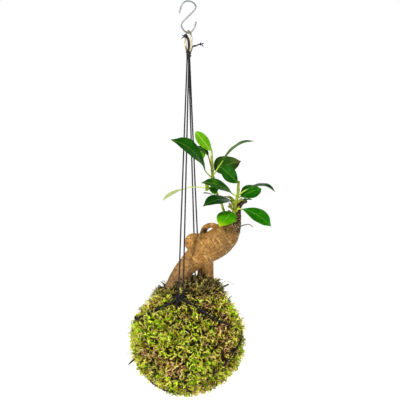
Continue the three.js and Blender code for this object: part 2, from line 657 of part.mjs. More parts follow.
function mossOuter() {
  const unit = new THREE.IcosahedronGeometry(1, ball.detail);
  unit.deleteAttribute('normal');
  unit.deleteAttribute('uv');
  const geometry = mergeVertices(unit, 1e-5);
  const position = geometry.attributes.position;
  const neighbours = Array.from({ length: position.count }, () => new Set());
  const index = geometry.index.array;
  for (let i = 0; i < index.length; i += 3) {
    for (let j = 0; j < 3; j += 1) {
      neighbours[index[i + j]].add(index[i + ((j + 1) % 3)]);
      neighbours[index[i + j]].add(index[i + ((j + 2) % 3)]);
    }
  }
  THREE.MathUtils.seededRandom(41);
  const random = () => THREE.MathUtils.seededRandom();
  const tufted = new Set();
  const toward = new THREE.Vector3();
  for (let i = 0; i < position.count; i += 1) {
    toward.fromBufferAttribute(position, i).normalize();
    const { surface, limit, tufty } = mossLimit(toward);
    const crowded = [...neighbours[i]].some((other) => tufted.has(other));
    const grows = tufty && !crowded && random() < 0.55;
    let radius = Math.min(surface + (tufty ? (random() - 0.6) * 1.6 : 0), limit);
    const lean = new THREE.Vector3();
    if (grows) {
      tufted.add(i);
      radius = surface + 2.5 + random() * 4;
      lean.set(random() - 0.5, random() - 0.5, random() - 0.5).multiplyScalar(3.2);
    }
    const point = toward.clone().multiplyScalar(radius).add(lean);
    const sideways = Math.hypot(toward.x, toward.y) * ball.radius;
    if (sideways < foot.radius && toward.z < 0) point.z = -foot.depth;
    point.z = Math.max(point.z, -foot.depth);
    point.add(ball.centre);
    position.setXYZ(i, point.x, point.y, point.z);
  }
  return solidFrom(geometry);
}

function soilBall(radius) {
  return ballOf([ball.centre.x, ball.centre.y, ball.centre.z], radius, ball.soilDetail);
}

// ---- assembly ----

function build() {
  const trunkRoom = trunk(gap);
  const stemRoom = join([trunkRoom, stemA(gap), stemB(gap)]);
  const frontRoom = frontKnot(gap);
  const rearRoom = rearKnot(gap);
  const sideRoom = join(sideKnots(gap));
  const topRoom = topKnot(gap);

  place('s_hook', hook(), colours.steel, finishes.metal);
  place('brass_ring', ringSolid(), colours.brass, finishes.metal);
  const hangers = join([hook(gap), ringSolid(gap)]);
  place('top_knot', topKnot().subtract(hangers), colours.cord, finishes.cord);

  Object.entries(strings).forEach(([name, ends]) => {
    const run = bar([vector(ends[0]), vector(ends[1])], [cordRadius, cordRadius], 8);
    place(name, run.subtract(topRoom), colours.cord, finishes.cord);
  });

  const front = onBall(knotFrontWay, knotLift);
  const rear = onBall(knotRearWay, knotLift);
  const frontEnds = [
    [[front.x - 3, front.y, front.z + 2, 1.0], [front.x - 8, front.y - 2, front.z + 1, 0.95],
      [front.x - 13, front.y - 4, front.z - 3, 0.8]],
    [[front.x + 2, front.y, front.z + 2, 1.0], [front.x + 4, front.y - 3, front.z + 7, 0.95],
      [front.x + 7, front.y - 3, front.z + 11, 0.8]],
  ];
  const rearEnds = [
    [[rear.x + 3, rear.y, rear.z + 2, 1.0], [rear.x + 8, rear.y + 3, rear.z + 1, 0.95],
      [rear.x + 12, rear.y + 4, rear.z - 3, 0.8]],
  ];
  const runs = Object.values(strings).map((ends) => (
    bar([vector(ends[0]), vector(ends[1])], [cordRadius + gap, cordRadius + gap], 8)
  ));
  const stringRoom = join(runs);
  place('knot_front', join([frontKnot(), ...tails(frontEnds)]).subtract(stringRoom),
    colours.cord, finishes.cord);
  place('knot_rear', join([rearKnot(), ...tails(rearEnds)]).subtract(stringRoom),
    colours.cord, finishes.cord);

  const netRoom = join([
    frontRoom, rearRoom, sideRoom, loopOnBall(cradle, cordRadius + gap, cordSides),
    ...tails(frontEnds, gap), ...tails(rearEnds, gap),
  ]);
  Object.entries(slings).forEach(([name, points]) => {
    const radii = points.map(() => cordRadius);
    const run = bar(points, radii, cordSides);
    place(name, run.subtract(netRoom), colours.cord, finishes.cord);
  });
  place('net_cradle', join([loopOnBall(cradle, cordRadius, cordSides), ...sideKnots()]),
    colours.cord, finishes.cord);

  const cover = mossOuter().subtract(soilBall(ball.soil + gap)).subtract(trunkRoom);
  place('moss_cover', cover, colours.moss, finishes.dull);
  place('soil_core', soilBall(ball.soil).subtract(trunkRoom), colours.soil, finishes.dull);
  place('trunk', trunk(), colours.bark, finishes.bark);

  const shootA = join([stemA(), sweep(twigStations, 5, 4), ...scales.map(scale)]);
  const shootB = join([stemB(), ...buds.map(scale)]);
  place('stem_front', shootA.subtract(trunkRoom).subtract(stemB(gap)), colours.shoot, finishes.glossy);
  place('stem_back', shootB.subtract(trunkRoom), colours.shoot, finishes.glossy);

  leaves.forEach((leaf) => {
    place(leaf.name, leafSolid(leaf).subtract(stemRoom), colours[leaf.colour], finishes.glossy);
  });
}

build();

export default model;
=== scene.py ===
import json
import math
import random

import bmesh
import bpy
import numpy as np
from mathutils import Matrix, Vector, noise
from mathutils.kdtree import KDTree

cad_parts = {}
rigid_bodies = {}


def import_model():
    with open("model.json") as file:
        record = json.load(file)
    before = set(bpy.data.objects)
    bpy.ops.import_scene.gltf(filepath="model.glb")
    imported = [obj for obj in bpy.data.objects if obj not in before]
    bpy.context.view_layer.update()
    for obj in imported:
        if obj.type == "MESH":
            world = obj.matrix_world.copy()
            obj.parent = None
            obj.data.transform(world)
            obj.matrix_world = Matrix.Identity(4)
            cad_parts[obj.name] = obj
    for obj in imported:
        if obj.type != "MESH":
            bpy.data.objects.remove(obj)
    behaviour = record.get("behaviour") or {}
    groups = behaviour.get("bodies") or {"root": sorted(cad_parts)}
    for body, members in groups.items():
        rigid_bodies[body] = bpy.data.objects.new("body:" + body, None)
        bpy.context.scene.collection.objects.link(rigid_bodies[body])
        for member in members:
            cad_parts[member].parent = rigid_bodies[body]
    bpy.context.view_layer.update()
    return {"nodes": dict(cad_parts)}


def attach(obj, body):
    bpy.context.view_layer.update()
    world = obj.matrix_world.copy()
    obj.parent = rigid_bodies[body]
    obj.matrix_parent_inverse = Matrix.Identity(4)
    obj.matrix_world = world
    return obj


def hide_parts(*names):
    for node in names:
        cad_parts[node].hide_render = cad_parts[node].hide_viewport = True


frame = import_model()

# shapes are worked out in millimetres and become metres when their mesh is made
metre = 0.001
scene = bpy.context.scene
scene.view_settings.view_transform = "Standard"


# camera, light and floor

cameraView = {"aimX": 0.0149, "aimZ": -0.2456, "away": 2.2, "lens": 159.68, "sensor": 36.0}
lamps = [
    {"name": "keyLamp", "at": (-0.9, -1.5, 0.75), "size": 0.4, "watts": 50.0},
    {"name": "fillLamp", "at": (1.6, -1.4, -0.1), "size": 1.0, "watts": 18.5},
    {"name": "backLamp", "at": (0.4, 1.5, 0.2), "size": 1.4, "watts": 11.0},
]
studio = {"seenWhite": 1.0, "skyStrength": 0.36, "lampAim": (0.01, 0.0, -0.3), "floorHeight": -0.62,
          "floorWidth": 24.0, "floorGlow": 0.7}


def setCamera():
    data = bpy.data.cameras.new("studioCamera")
    data.lens = cameraView["lens"]
    data.sensor_width = cameraView["sensor"]
    data.clip_end = 60.0
    holder = bpy.data.objects.new("studioCamera", data)
    holder.location = (cameraView["aimX"], -cameraView["away"], cameraView["aimZ"])
    holder.rotation_euler = (math.pi / 2, 0.0, 0.0)
    scene.collection.objects.link(holder)
    scene.camera = holder


def setLamps():
    target = Vector(studio["lampAim"])
    for lamp in lamps:
        data = bpy.data.lights.new(lamp["name"], "AREA")
        data.energy = lamp["watts"]
        data.size = lamp["size"]
        holder = bpy.data.objects.new(lamp["name"], data)
        holder.location = lamp["at"]
        holder.rotation_euler = (target - holder.location).to_track_quat("-Z", "Y").to_euler()
        scene.collection.objects.link(holder)
    world = bpy.data.worlds.new("paleRoom")
    world.use_nodes = True
    tree = world.node_tree
    sky = tree.nodes["Background"]
    sky.inputs["Color"].default_value = (1.0, 1.0, 1.0, 1.0)
    # the backdrop is seen brighter than it lights
    seen = tree.nodes.new("ShaderNodeLightPath").outputs["Is Camera Ray"]
    glow = tree.nodes.new("ShaderNodeMapRange")
    glow.inputs["To Min"].default_value = studio["skyStrength"]
    glow.inputs["To Max"].default_value = studio["seenWhite"]
    tree.links.new(seen, glow.inputs["Value"])
    tree.links.new(glow.outputs["Result"], sky.inputs["Strength"])
    scene.world = world


setCamera()
setLamps()
print("camera and lamps set")


# helpers for lines and meshes

def unit(v):
    v = np.asarray(v, float)
    return v / np.linalg.norm(v)


def splineThrough(stops, steps, closed=False, even=False):
    stops = np.asarray(stops, float)
    count = len(stops)
    spans = count if closed else count - 1
    found = []
    for i in range(steps if closed else steps + 1):
        place = i / steps * spans
        k = min(int(place), spans - 1)
        w = place - k
        p1, p2 = stops[k % count], stops[(k + 1) % count]
        p0 = stops[(k - 1) % count] if closed or k > 0 else 2 * p1 - p2
        p3 = stops[(k + 2) % count] if closed or k + 2 < count else 2 * p2 - p1
        d0, d1, d2 = (1.0 if even else max(np.linalg.norm(b - a), 1e-6) ** 0.5
                      for a, b in ((p0, p1), (p1, p2), (p2, p3)))
        m1 = ((p1 - p0) / d0 - (p2 - p0) / (d0 + d1) + (p2 - p1) / d1) * d1
        m2 = ((p2 - p1) / d1 - (p3 - p1) / (d1 + d2) + (p3 - p2) / d2) * d1
        square, cube = 3 * (p2 - p1) - 2 * m1 - m2, 2 * (p1 - p2) + m1 + m2
        found.append(p1 + m1 * w + square * w ** 2 + cube * w ** 3)
    return np.array(found)


# length gone at each point of a line
def travelled(points):
    return np.concatenate([[0], np.cumsum(np.linalg.norm(np.diff(points, axis=0), axis=1))])


def fullTurn(count):
    return np.arange(count) / count * 2 * math.pi


# turns about a centre or a line; a and b are the two axes, with length
def coil(angle, centre, a, b):
    return centre + np.cos(angle)[:, None] * a + np.sin(angle)[:, None] * b


def evenly(points, spacing, closed=False):
    loop = np.vstack([points, points[:1]]) if closed else np.asarray(points, float)
    gone = travelled(loop)
    count = max(int(round(gone[-1] / spacing)), 3)
    at = np.linspace(0, gone[-1], count + 1)
    line = np.stack([np.interp(at, gone, loop[:, k]) for k in range(3)], axis=1)
    return line[:-1] if closed else line


# tangent, normal and sideways direction at each point, carried along without twist
def framesAlong(points, closed=False):
    if closed:
        ahead = np.roll(points, -1, 0) - np.roll(points, 1, 0)
    else:
        ahead = np.gradient(points, axis=0)
    tangents = ahead / np.linalg.norm(ahead, axis=1)[:, None]
    normal = np.array((0, 1, 0) if abs(tangents[0][1]) < 0.9 else (1, 0, 0), float)
    normals = np.zeros_like(tangents)
    for i, t in enumerate(tangents):
        normal = unit(normal - t * (normal @ t))
        normals[i] = normal
    if closed:
        back = unit(normal - tangents[0] * (normal @ tangents[0]))
        angle = math.atan2(np.cross(normals[0], back) @ tangents[0], normals[0] @ back)
        turn = -angle * np.arange(len(points)) / len(points)
        side = np.cross(tangents, normals)
        normals = normals * np.cos(turn)[:, None] + side * np.sin(turn)[:, None]
    return tangents, normals, np.cross(tangents, normals)


# rings of points joined into a skin, open ends closed by fans
def skin(rings, closed=False, **tags):
    rings = np.asarray(rings, float)
    rows, sides = rings.shape[:2]
    verts = rings.reshape(-1, 3)
    faces = []
    for row in range(rows if closed else rows - 1):
        after = (row + 1) % rows
        for s in range(sides):
            t = (s + 1) % sides
            faces.append((row * sides + s, row * sides + t, after * sides + t, after * sides + s))
    along = travelled(rings.mean(1))
    uv = np.stack(np.meshgrid(np.arange(sides) / sides, along / 10, indexing="xy"), -1).reshape(-1, 2)
    if not closed:
        hubs = rings[[0, -1]].mean(1)
        verts = np.vstack([verts, hubs])
        uv = np.vstack([uv, [[0.5, along[0] / 10], [0.5, along[-1] / 10]]])
        first, last = rows * sides, rows * sides + 1
        for s in range(sides):
            t = (s + 1) % sides
            faces.append((first, t, s))
            faces.append((last, (rows - 1) * sides + s, (rows - 1) * sides + t))
    return {"verts": verts, "faces": faces, "uv": uv, "tags": spread(tags, len(verts))}


def spread(tags, count):
    filled = {}
    for key, value in tags.items():
        value = np.asarray(value, float)
        if value.ndim == 0 or value.shape[0] != count:
            value = np.broadcast_to(value, (count,) + value.shape).copy()
        filled[key] = value
    return filled


def merged(parts):
    verts, faces, uvs, tags = [], [], [], {}
    offset = 0
    names = sorted({key for part in parts for key in part["tags"]})
    for part in parts:
        verts.append(part["verts"])
        uvs.append(part["uv"])
        faces.extend(tuple(i + offset for i in face) for face in part["faces"])
        offset += len(part["verts"])
    for key in names:
        example = next(part["tags"][key] for part in parts if key in part["tags"])
        blank = example.shape[1:]
        tags[key] = np.concatenate([
            part["tags"].get(key, np.zeros((len(part["verts"]),) + blank)) for part in parts])
    return {"verts": np.vstack(verts), "faces": faces, "uv": np.vstack(uvs), "tags": tags}


# stores a measure at each point and smooths the shading
def dress(mesh, tags):
    for key, values in tags.items():
        kind, field = ("FLOAT", "value") if values.ndim == 1 else ("FLOAT_VECTOR", "vector")
        store = mesh.attributes.new(key, kind, "POINT")
        store.data.foreach_set(field, values.astype(np.float32).ravel())
    mesh.polygons.foreach_set("use_smooth", [True] * len(mesh.polygons))
    mesh.update()


def meshFrom(name, part):
    mesh = bpy.data.meshes.new(name)
    mesh.from_pydata((part["verts"] * metre).tolist(), [], part["faces"])
    layer = mesh.uv_layers.new(name="UVMap")
    corners = np.zeros(len(mesh.loops), np.int32)
    mesh.loops.foreach_get("vertex_index", corners)
    layer.data.foreach_set("uv", part["uv"][corners].astype(np.float32).ravel())
    dress(mesh, part["tags"])
    return mesh


def camel(name):
    first, *rest = name.split("_")
    return first + "".join(word.title() for word in rest)


def addPiece(name, part, material, slotName, *stoodFor):
    mesh = part if isinstance(part, bpy.types.Mesh) else meshFrom(name, part)
    mesh.materials.clear()
    mesh.materials.append(material)
    piece = bpy.data.objects.new(name, mesh)
    scene.collection.objects.link(piece)
    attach(piece, "root")
    if stoodFor:
        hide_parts(*stoodFor)
    return piece


def tube(points, radii, sides, closed=False, **tags):
    points = np.asarray(points, float)
    radii = np.broadcast_to(np.asarray(radii, float), (len(points),))
    _, normals, acrosses = framesAlong(points, closed)
    angles = fullTurn(sides)
    rings = (points[:, None]
             + np.cos(angles)[None, :, None] * normals[:, None] * radii[:, None, None]
             + np.sin(angles)[None, :, None] * acrosses[:, None] * radii[:, None, None])
    return skin(rings, closed, **tags)


# stations are x, y, z and radius
def loft(stations, sides, steps, **tags):
    stations = np.asarray(stations, float)
    line = splineThrough(stations[:, :3], steps)
    girth = splineThrough(stations[:, 3:4], steps, even=True)[:, 0]
    return tube(line, girth, sides, **tags)


# short calls for the nodes of one shader or geometry tree

class Pad:
    def __init__(self, tree):
        self.tree = tree

    def plug(self, socket, value):
        if isinstance(value, bpy.types.NodeSocket):
            self.tree.links.new(value, socket)
        elif isinstance(value, bpy.types.Node):
            self.tree.links.new(value.outputs[0], socket)
        elif hasattr(value, "__len__") and socket.type == "RGBA" and len(value) == 3:
            socket.default_value = (*value, 1.0)
        else:
            socket.default_value = value

    def fill(self, sockets, values):
        for key, value in values.items():
            self.plug(sockets[key], value)

    def node(self, kind, inputs=None, **settings):
        made = self.tree.nodes.new(kind)
        for key, value in settings.items():
            setattr(made, key, value)
        self.fill(made.inputs, inputs or {})
        return made

    def math(self, operation, a, b=0.0, clamp=False):
        made = self.node("ShaderNodeMath", {0: a, 1: b}, operation=operation, use_clamp=clamp)
        return made.outputs[0]

    def times(self, a, b):
        return self.math("MULTIPLY", a, b)

    def plus(self, a, b):
        return self.math("ADD", a, b)

    def mix(self, factor, a, b):
        return self.node("ShaderNodeMix", {0: factor, 6: a, 7: b}, data_type="RGBA").outputs[2]

    def ramp(self, factor, low, high, toLow=0.0, toHigh=1.0):
        return self.node("ShaderNodeMapRange", {
            "Value": factor, "From Min": low, "From Max": high, "To Min": toLow, "To Max": toHigh,
        }, interpolation_type="SMOOTHSTEP").outputs["Result"]

    def noise(self, vector, scale, detail=3.0, rough=0.55, warp=0.0):
        return self.node("ShaderNodeTexNoise", {
            "Vector": vector, "Scale": scale, "Detail": detail, "Roughness": rough, "Distortion": warp,
        }).outputs["Fac"]

    def attribute(self, name, output="Fac"):
        return self.node("ShaderNodeAttribute", attribute_name=name).outputs[output]

    def where(self):
        return self.node("ShaderNodeTexCoord").outputs["Object"]

    def split(self, vector):
        return self.node("ShaderNodeSeparateXYZ", {0: vector}).outputs

    def scaled(self, vector, scale):
        return self.node("ShaderNodeMapping", {"Vector": vector, "Scale": scale}).outputs[0]

    def bump(self, height, strength, distance):
        return self.node("ShaderNodeBump", {
            "Height": height, "Strength": strength, "Distance": distance}).outputs[0]

    def mottled(self, where, coarse, fine, low, high):
        return self.node("ShaderNodeGroup", {
            "Vector": where, "Coarse": coarse, "Fine": fine, "Low": low, "High": high,
        }, node_tree=mottle).outputs

    def coat(self, values):
        self.fill(self.tree.nodes["Principled BSDF"].inputs, values)


def newMaterial(name):
    material = bpy.data.materials.new(name)
    material.use_nodes = True
    return material, Pad(material.node_tree)


def newGroup(name, inputs, outputs):
    group = bpy.data.node_groups.new(name, "ShaderNodeTree")
    for label, value in inputs.items():
        kind = "Vector" if value is None else "Color" if isinstance(value, tuple) else "Float"
        socket = group.interface.new_socket(name=label, in_out="INPUT", socket_type="NodeSocket" + kind)
        if value is not None:
            socket.default_value = (*value, 1.0) if kind == "Color" else value
    for label in outputs:
        kind = "NodeSocketColor" if label == "Color" else "NodeSocketFloat"
        group.interface.new_socket(name=label, in_out="OUTPUT", socket_type=kind)
    given = group.nodes.new("NodeGroupInput").outputs
    return group, Pad(group), given, group.nodes.new("NodeGroupOutput").inputs


# two tones broken up at a coarse and a fine size, used by most finishes here
def mottleGroup():
    group, pad, given, out = newGroup("mottle", {
        "Vector": None, "Coarse": 40.0, "Fine": 300.0, "Low": (0.1, 0.1, 0.1), "High": (0.5, 0.5, 0.5),
    }, ("Color", "Mask"))
    coarse = pad.noise(given["Vector"], given["Coarse"], 4.0)
    fine = pad.noise(given["Vector"], given["Fine"], 3.0, 0.6)
    mask = pad.ramp(pad.plus(pad.times(coarse, 0.65), pad.times(fine, 0.35)), 0.36, 0.64)
    pad.fill(out, {"Color": pad.mix(mask, given["Low"], given["High"]), "Mask": mask})
    return group


mottle = mottleGroup()


# cords first: four taut strings, the net round the ball and its knots

cordLook = {"radius": 1.06, "plies": 3, "perPly": 4, "pitch": 6.0, "step": 0.8, "groove": 0.26}
cordFinish = {"dark": (0.003, 0.003, 0.003), "light": (0.011, 0.011, 0.012),
              "worn": (0.032, 0.032, 0.034)}


def cordMaterial():
    material, pad = newMaterial("waxedCord")
    uv = pad.node("ShaderNodeUVMap", uv_map="UVMap").outputs[0]
    fibre = pad.noise(pad.scaled(uv, (26.0, 5.0, 1.0)), 1.0, 4.0, 0.7)
    tone = pad.mottled(pad.where(), 220.0, 1500.0, cordFinish["dark"], cordFinish["light"])
    pad.coat({
        "Base Color": pad.mix(pad.ramp(fibre, 0.55, 0.75), tone["Color"], cordFinish["worn"]),
        "Roughness": pad.ramp(fibre, 0.3, 0.7, 0.42, 0.7),
        "Specular IOR Level": 0.25,
        "Normal": pad.bump(fibre, 0.5, 0.0002),
    })
    return material


waxedCord = cordMaterial()


def twistedCord(points, radius=cordLook["radius"], closed=False):
    line = evenly(points, cordLook["step"], closed)
    _, normals, acrosses = framesAlong(line, closed)
    sides = cordLook["plies"] * cordLook["perPly"]
    turns = travelled(line)[-1] / (cordLook["pitch"] * radius / cordLook["radius"])
    turns = max(round(turns), 1) if closed else turns
    steps = len(line) if closed else len(line) - 1
    phase = np.arange(len(line)) / steps * turns * 2 * math.pi
    k = np.arange(sides)
    reach = radius * (1 - cordLook["groove"] * (1 - np.cos(2 * math.pi * k / cordLook["perPly"])) / 2)
    angle = phase[:, None] + (k / sides * 2 * math.pi)[None, :]
    return skin(line[:, None] + (np.cos(angle) * reach)[..., None] * normals[:, None]
                + (np.sin(angle) * reach)[..., None] * acrosses[:, None], closed)


fray = {"fibres": 9, "length": 3.0, "foot": 1.6, "point": 0.5, "radius": 0.13, "splay": 0.75,
        "inside": 0.6, "spread": 0.4, "droop": 0.25}


def anyWay(rng):
    return np.array([rng.uniform(-1, 1) for _ in range(3)])


# loose fibres at a cut end
def frayedEnd(at, toward, rng, size=1.0):
    parts = []
    toward = unit(toward)
    for _ in range(fray["fibres"]):
        wander = unit(toward + fray["splay"] * anyWay(rng))
        length = fray["length"] * size * rng.uniform(0.5, 1.1)
        start = np.asarray(at) - toward * fray["inside"] + fray["spread"] * size * anyWay(rng)
        bend = start + toward * length * 0.4
        stops = [start, bend, bend + wander * length * 0.6 + np.array([0, 0, -fray["droop"] * length])]
        radii = np.linspace(fray["radius"] * fray["foot"], fray["radius"] * fray["point"], 5)
        parts.append(tube(splineThrough(stops, 4), radii, 3))
    return parts


strings = {
    "string_front_left": ([-0.9, -1.6, -67.5], [-11.2, -46.0, -360.2]),
    "string_front_right": ([1.15, -2.1, -67.5], [-5.5, -45.9, -359.6]),
    "string_rear_left": ([0.6, 0.5, -67.5], [9.2, 46.4, -358.5]),
    "string_rear_right": ([1.9, 2.2, -67.5], [14.8, 46.6, -360.2]),
}


stringSway = 0.25


def makeStrings():
    for name, (top, low) in strings.items():
        top, low = np.array(top), np.array(low)
        along = np.linspace(0, 1, 60)[:, None]
        sideways = np.array([[math.sin(top[0] * 3), math.cos(top[0] * 5), 0]])
        run = top + (low - top) * along + stringSway * np.sin(along * math.pi) * sideways
        piece = addPiece(camel(name), twistedCord(run), waxedCord, "cord", name)


makeStrings()

ball = {"centre": (-1.5, 0.0, -417.0), "radius": 69.0, "footDepth": 72.5}
ballCentre = np.array(ball["centre"])
# direction, rise and spread of each place where the moss is mounded up or pressed in
mounds = [
    ((0.3, 0.1, 0.95), 10.0, 0.28), ((0.56, 0.0, 0.83), 3.0, 0.25), ((0.02, -0.35, 0.93), 3.0, 0.3),
    ((-0.74, -0.1, 0.66), -4.5, 0.45), ((0.8, 0.0, 0.6), -3.5, 0.4), ((-0.6, -0.1, -0.79), -1.5, 0.4),
]


# 1 in the middle of a patch of the ball, fading outwards
def patchAt(ways, toward, width):
    return np.exp(-(np.linalg.norm(ways - unit(toward), axis=1) / width) ** 2)


def mossRadius(ways):
    x, y, z = ways[:, 0], ways[:, 1], ways[:, 2]
    reach = (ball["radius"] + 1.3 * np.sin(5.3 * x + 1.1) * np.sin(4.7 * y - 0.6)
             + 0.9 * np.sin(6.9 * z + 3.1 * x + 2.0))
    for toward, rise, width in mounds:
        reach = reach + rise * patchAt(ways, toward, width)
    return reach


def onBall(ways, lift):
    ways = np.atleast_2d(np.asarray(ways, float))
    ways = ways / np.linalg.norm(ways, axis=1)[:, None]
    return ways * (mossRadius(ways) + lift)[:, None] + ballCentre


knotFrontWay = unit((-0.122, -0.668, 0.734))
knotRearWay = unit((0.15, 0.66, 0.735))
knotLeftWay = unit((-0.93, 0.1, 0.36))
knotRightWay = unit((0.998, -0.03, 0.03))
knotLift = 1.9
sideKnotLift = -2.0
cordLift = 0.9
slingLift = 1.5

slingWays = {
    "sling_front_left": [
        knotFrontWay, (-0.26, -0.69, 0.67), (-0.49, -0.65, 0.58), (-0.73, -0.5, 0.46), (-0.877, -0.3, 0.37),
        knotLeftWay],
    "sling_front_right": [
        knotFrontWay, (0.176, -0.79, 0.58), (0.41, -0.8, 0.44), (0.588, -0.73, 0.352),
        (0.857, -0.48, 0.206), knotRightWay],
    "sling_rear_left": [
        knotRearWay, (-0.25, 0.72, 0.65), (-0.62, 0.57, 0.54), (-0.85, 0.36, 0.4), knotLeftWay],
    "sling_rear_right": [
        knotRearWay, (0.45, 0.69, 0.57), (0.74, 0.6, 0.33), (0.93, 0.3, 0.14), knotRightWay],
}
cradleWays = [
    knotRightWay, (0.854, -0.49, -0.166), (0.709, -0.616, -0.346), (0.53, -0.66, -0.536),
    (0.26, -0.5, -0.83), (-0.1, -0.36, -0.93), (-0.61, -0.21, -0.765), (-0.86, 0.05, -0.5),
    (-0.985, 0.1, -0.12), knotLeftWay, (-0.92, 0.4, -0.02), (-0.64, 0.62, -0.46), (-0.2, 0.56, -0.8),
    (0.35, 0.54, -0.77), (0.76, 0.48, -0.43),
]


def seated(ways, steps, lift, closed=False):
    ways = np.array([unit(way) for way in ways])
    return onBall(splineThrough(ways, steps, closed), lift)


# stretches of the cradle that lie open on the moss, counted in its stops
cradleOpen = [(-0.3, 3.2), (4.6, 6.3), (10.2, 11.8), (12.9, 14.7)]
cradleSteps = 170


def cradleShown():
    at = np.arange(cradleSteps) / cradleSteps * len(cradleWays)
    shown = np.zeros(cradleSteps)
    for first, last in cradleOpen:
        for shift in (0, len(cradleWays)):
            edge = np.minimum(at - first - shift, last + shift - at)
            shown = np.maximum(shown, np.clip(edge / 0.35, 0, 1))
    return shown


slingLines = {name: seated(ways, 60, slingLift) for name, ways in slingWays.items()}
# share of each sling, from its net knot, that lies clear of the moss
slingShown = dict(zip(slingWays, (0.97, 0.5, 0.8, 0.6)))
openShare = cradleShown()
cradleLine = seated(cradleWays, cradleSteps, cordLift, True)
cradleLine += (ballCentre - cradleLine) / 70 * (1.9 * (1 - openShare))[:, None]

knotSizes = {
    "net": {"width": 13.0, "height": 15.0, "strand": 1.3},
    "side": {"width": 6.4, "height": 7.0, "strand": 0.85},
}


# overhand knot of two cords run side by side, with a binding turn round its waist
knotForm = {"steps": 90, "clear": 0.2, "twists": 5, "apart": 0.5, "thick": 0.62,
            "wraps": ((-0.6, 0.5), (1.4, -0.35)), "wrapWide": 0.3, "wrapDeep": 0.75, "wrapTall": 0.4,
            "wrapThick": 0.72}


def overhandKnot(centre, outward, size):
    up = unit(np.array([0, 0, 1.0]) - outward * outward[2])
    side = np.cross(up, outward)
    strand = size["strand"]
    spreadOut = (size["width"] / 2 - strand) / 3
    angle = fullTurn(knotForm["steps"])
    across = (np.sin(angle) + 2 * np.sin(2 * angle)) * spreadOut
    upward = (np.cos(angle) - 2 * np.cos(2 * angle)) * spreadOut * size["height"] / size["width"]
    rise = -np.sin(3 * angle) * (strand + knotForm["clear"])
    line = centre + across[:, None] * side + upward[:, None] * up + rise[:, None] * outward
    twist = knotForm["twists"] * angle
    parts = sideBySide(line, twist, strand * knotForm["apart"], strand * knotForm["thick"], True)
    wrap = size["width"] * knotForm["wrapWide"]
    for drop, tilt in knotForm["wraps"]:
        over = wrap * knotForm["wrapDeep"] * outward + tilt * up * wrap * knotForm["wrapTall"]
        turn = coil(angle, centre + up * drop, wrap * side, over)
        parts.append(twistedCord(turn, strand * knotForm["wrapThick"], True))
    return parts


# two cords laid side by side and twisted round each other
def sideBySide(line, swing, apart, radius, closed=False):
    _, normals, acrosses = framesAlong(line, closed)
    offset = coil(swing, 0.0, normals, acrosses) * apart
    return [twistedCord(line + offset, radius, closed), twistedCord(line - offset, radius, closed)]


def looseEnd(stops, radius, rng, size=1.0):
    line = splineThrough(stops, 24)
    return [twistedCord(line, radius), *frayedEnd(line[-1], line[-1] - line[-3], rng, size)]


doubled = {"radius": 0.84, "apart": 0.7, "pitch": 26.0}


def doubledCord(points):
    line = evenly(points, 1.0)
    swing = travelled(line) / doubled["pitch"] * math.pi
    return sideBySide(line, swing, doubled["apart"], doubled["radius"])


# the lowest stretch of a string, from its own end down into the knot that holds it
def leadIn(name, centre, toward):
    top, low = (np.array(p, float) for p in strings[name])
    down = unit(low - top)
    stops = [low - down * 1.5, low, low + down * 0.6, centre + toward * 1.2, centre - toward * 0.5]
    return twistedCord(splineThrough(stops, 24))


# loose ends at the two net knots: stops from the knot's centre, and thickness
netEnds = {
    "front": [
        ([(-3, 0, 2), (-8, -2, 1), (-13, -4, -3)], 0.8),
        ([(2, 0, 2), (4, -3, 7), (7, -3, 11)], 0.75),
        ([(-1, -1, -3), (-3, -3, -7), (-2, -3.5, -10)], 0.7),
    ],
    "rear": [
        ([(3, 0, 2), (8, 3, 1), (12, 4, -3)], 0.8),
        ([(-3, 0, 1), (-6, 3, -3), (-7, 4, -8)], 0.75),
    ],
}


def makeNet():
    rng = random.Random(7)
    for side, way in (("front", knotFrontWay), ("rear", knotRearWay)):
        centre = onBall(way, knotLift)[0]
        parts = overhandKnot(centre, way, knotSizes["net"])
        parts += [leadIn(f"string_{side}_{hand}", centre, way) for hand in ("left", "right")]
        for stops, radius in netEnds[side]:
            parts += looseEnd(centre + stops, radius, rng)
        addPiece("knot" + side.title(), merged(parts), waxedCord, "cord", "knot_" + side)
    for name, line in slingLines.items():
        addPiece(camel(name), merged(doubledCord(line)), waxedCord, "cord", name)
    parts = [twistedCord(cradleLine, closed=True)]
    for way in (knotLeftWay, knotRightWay):
        parts += overhandKnot(onBall(way, sideKnotLift)[0], way, knotSizes["side"])
    addPiece("netCradle", merged(parts), waxedCord, "cord", "net_cradle")


makeNet()
print("cords and knots made")


# floor

def makeFloor():
    half = studio["floorWidth"] / 2
    z = studio["floorHeight"]
    mesh = bpy.data.meshes.new("paleFloor")
    corners = [(-half, -half, z), (half, -half, z), (half, half, z), (-half, half, z)]
    mesh.from_pydata(corners, [], [(0, 1, 2, 3)])
    material, pad = newMaterial("paleFloor")
    tone = pad.mottled(pad.where(), 0.6, 5.0, (0.93, 0.93, 0.925), (0.97, 0.97, 0.965))
    pad.coat({
        "Base Color": tone["Color"], "Roughness": 0.9, "Specular IOR Level": 0.0,
        "Emission Color": (1.0, 1.0, 1.0), "Emission Strength": studio["floorGlow"],
    })
    mesh.materials.append(material)
    floor = bpy.data.objects.new("paleFloor", mesh)
    scene.collection.objects.link(floor)


makeFloor()


# hook and ring

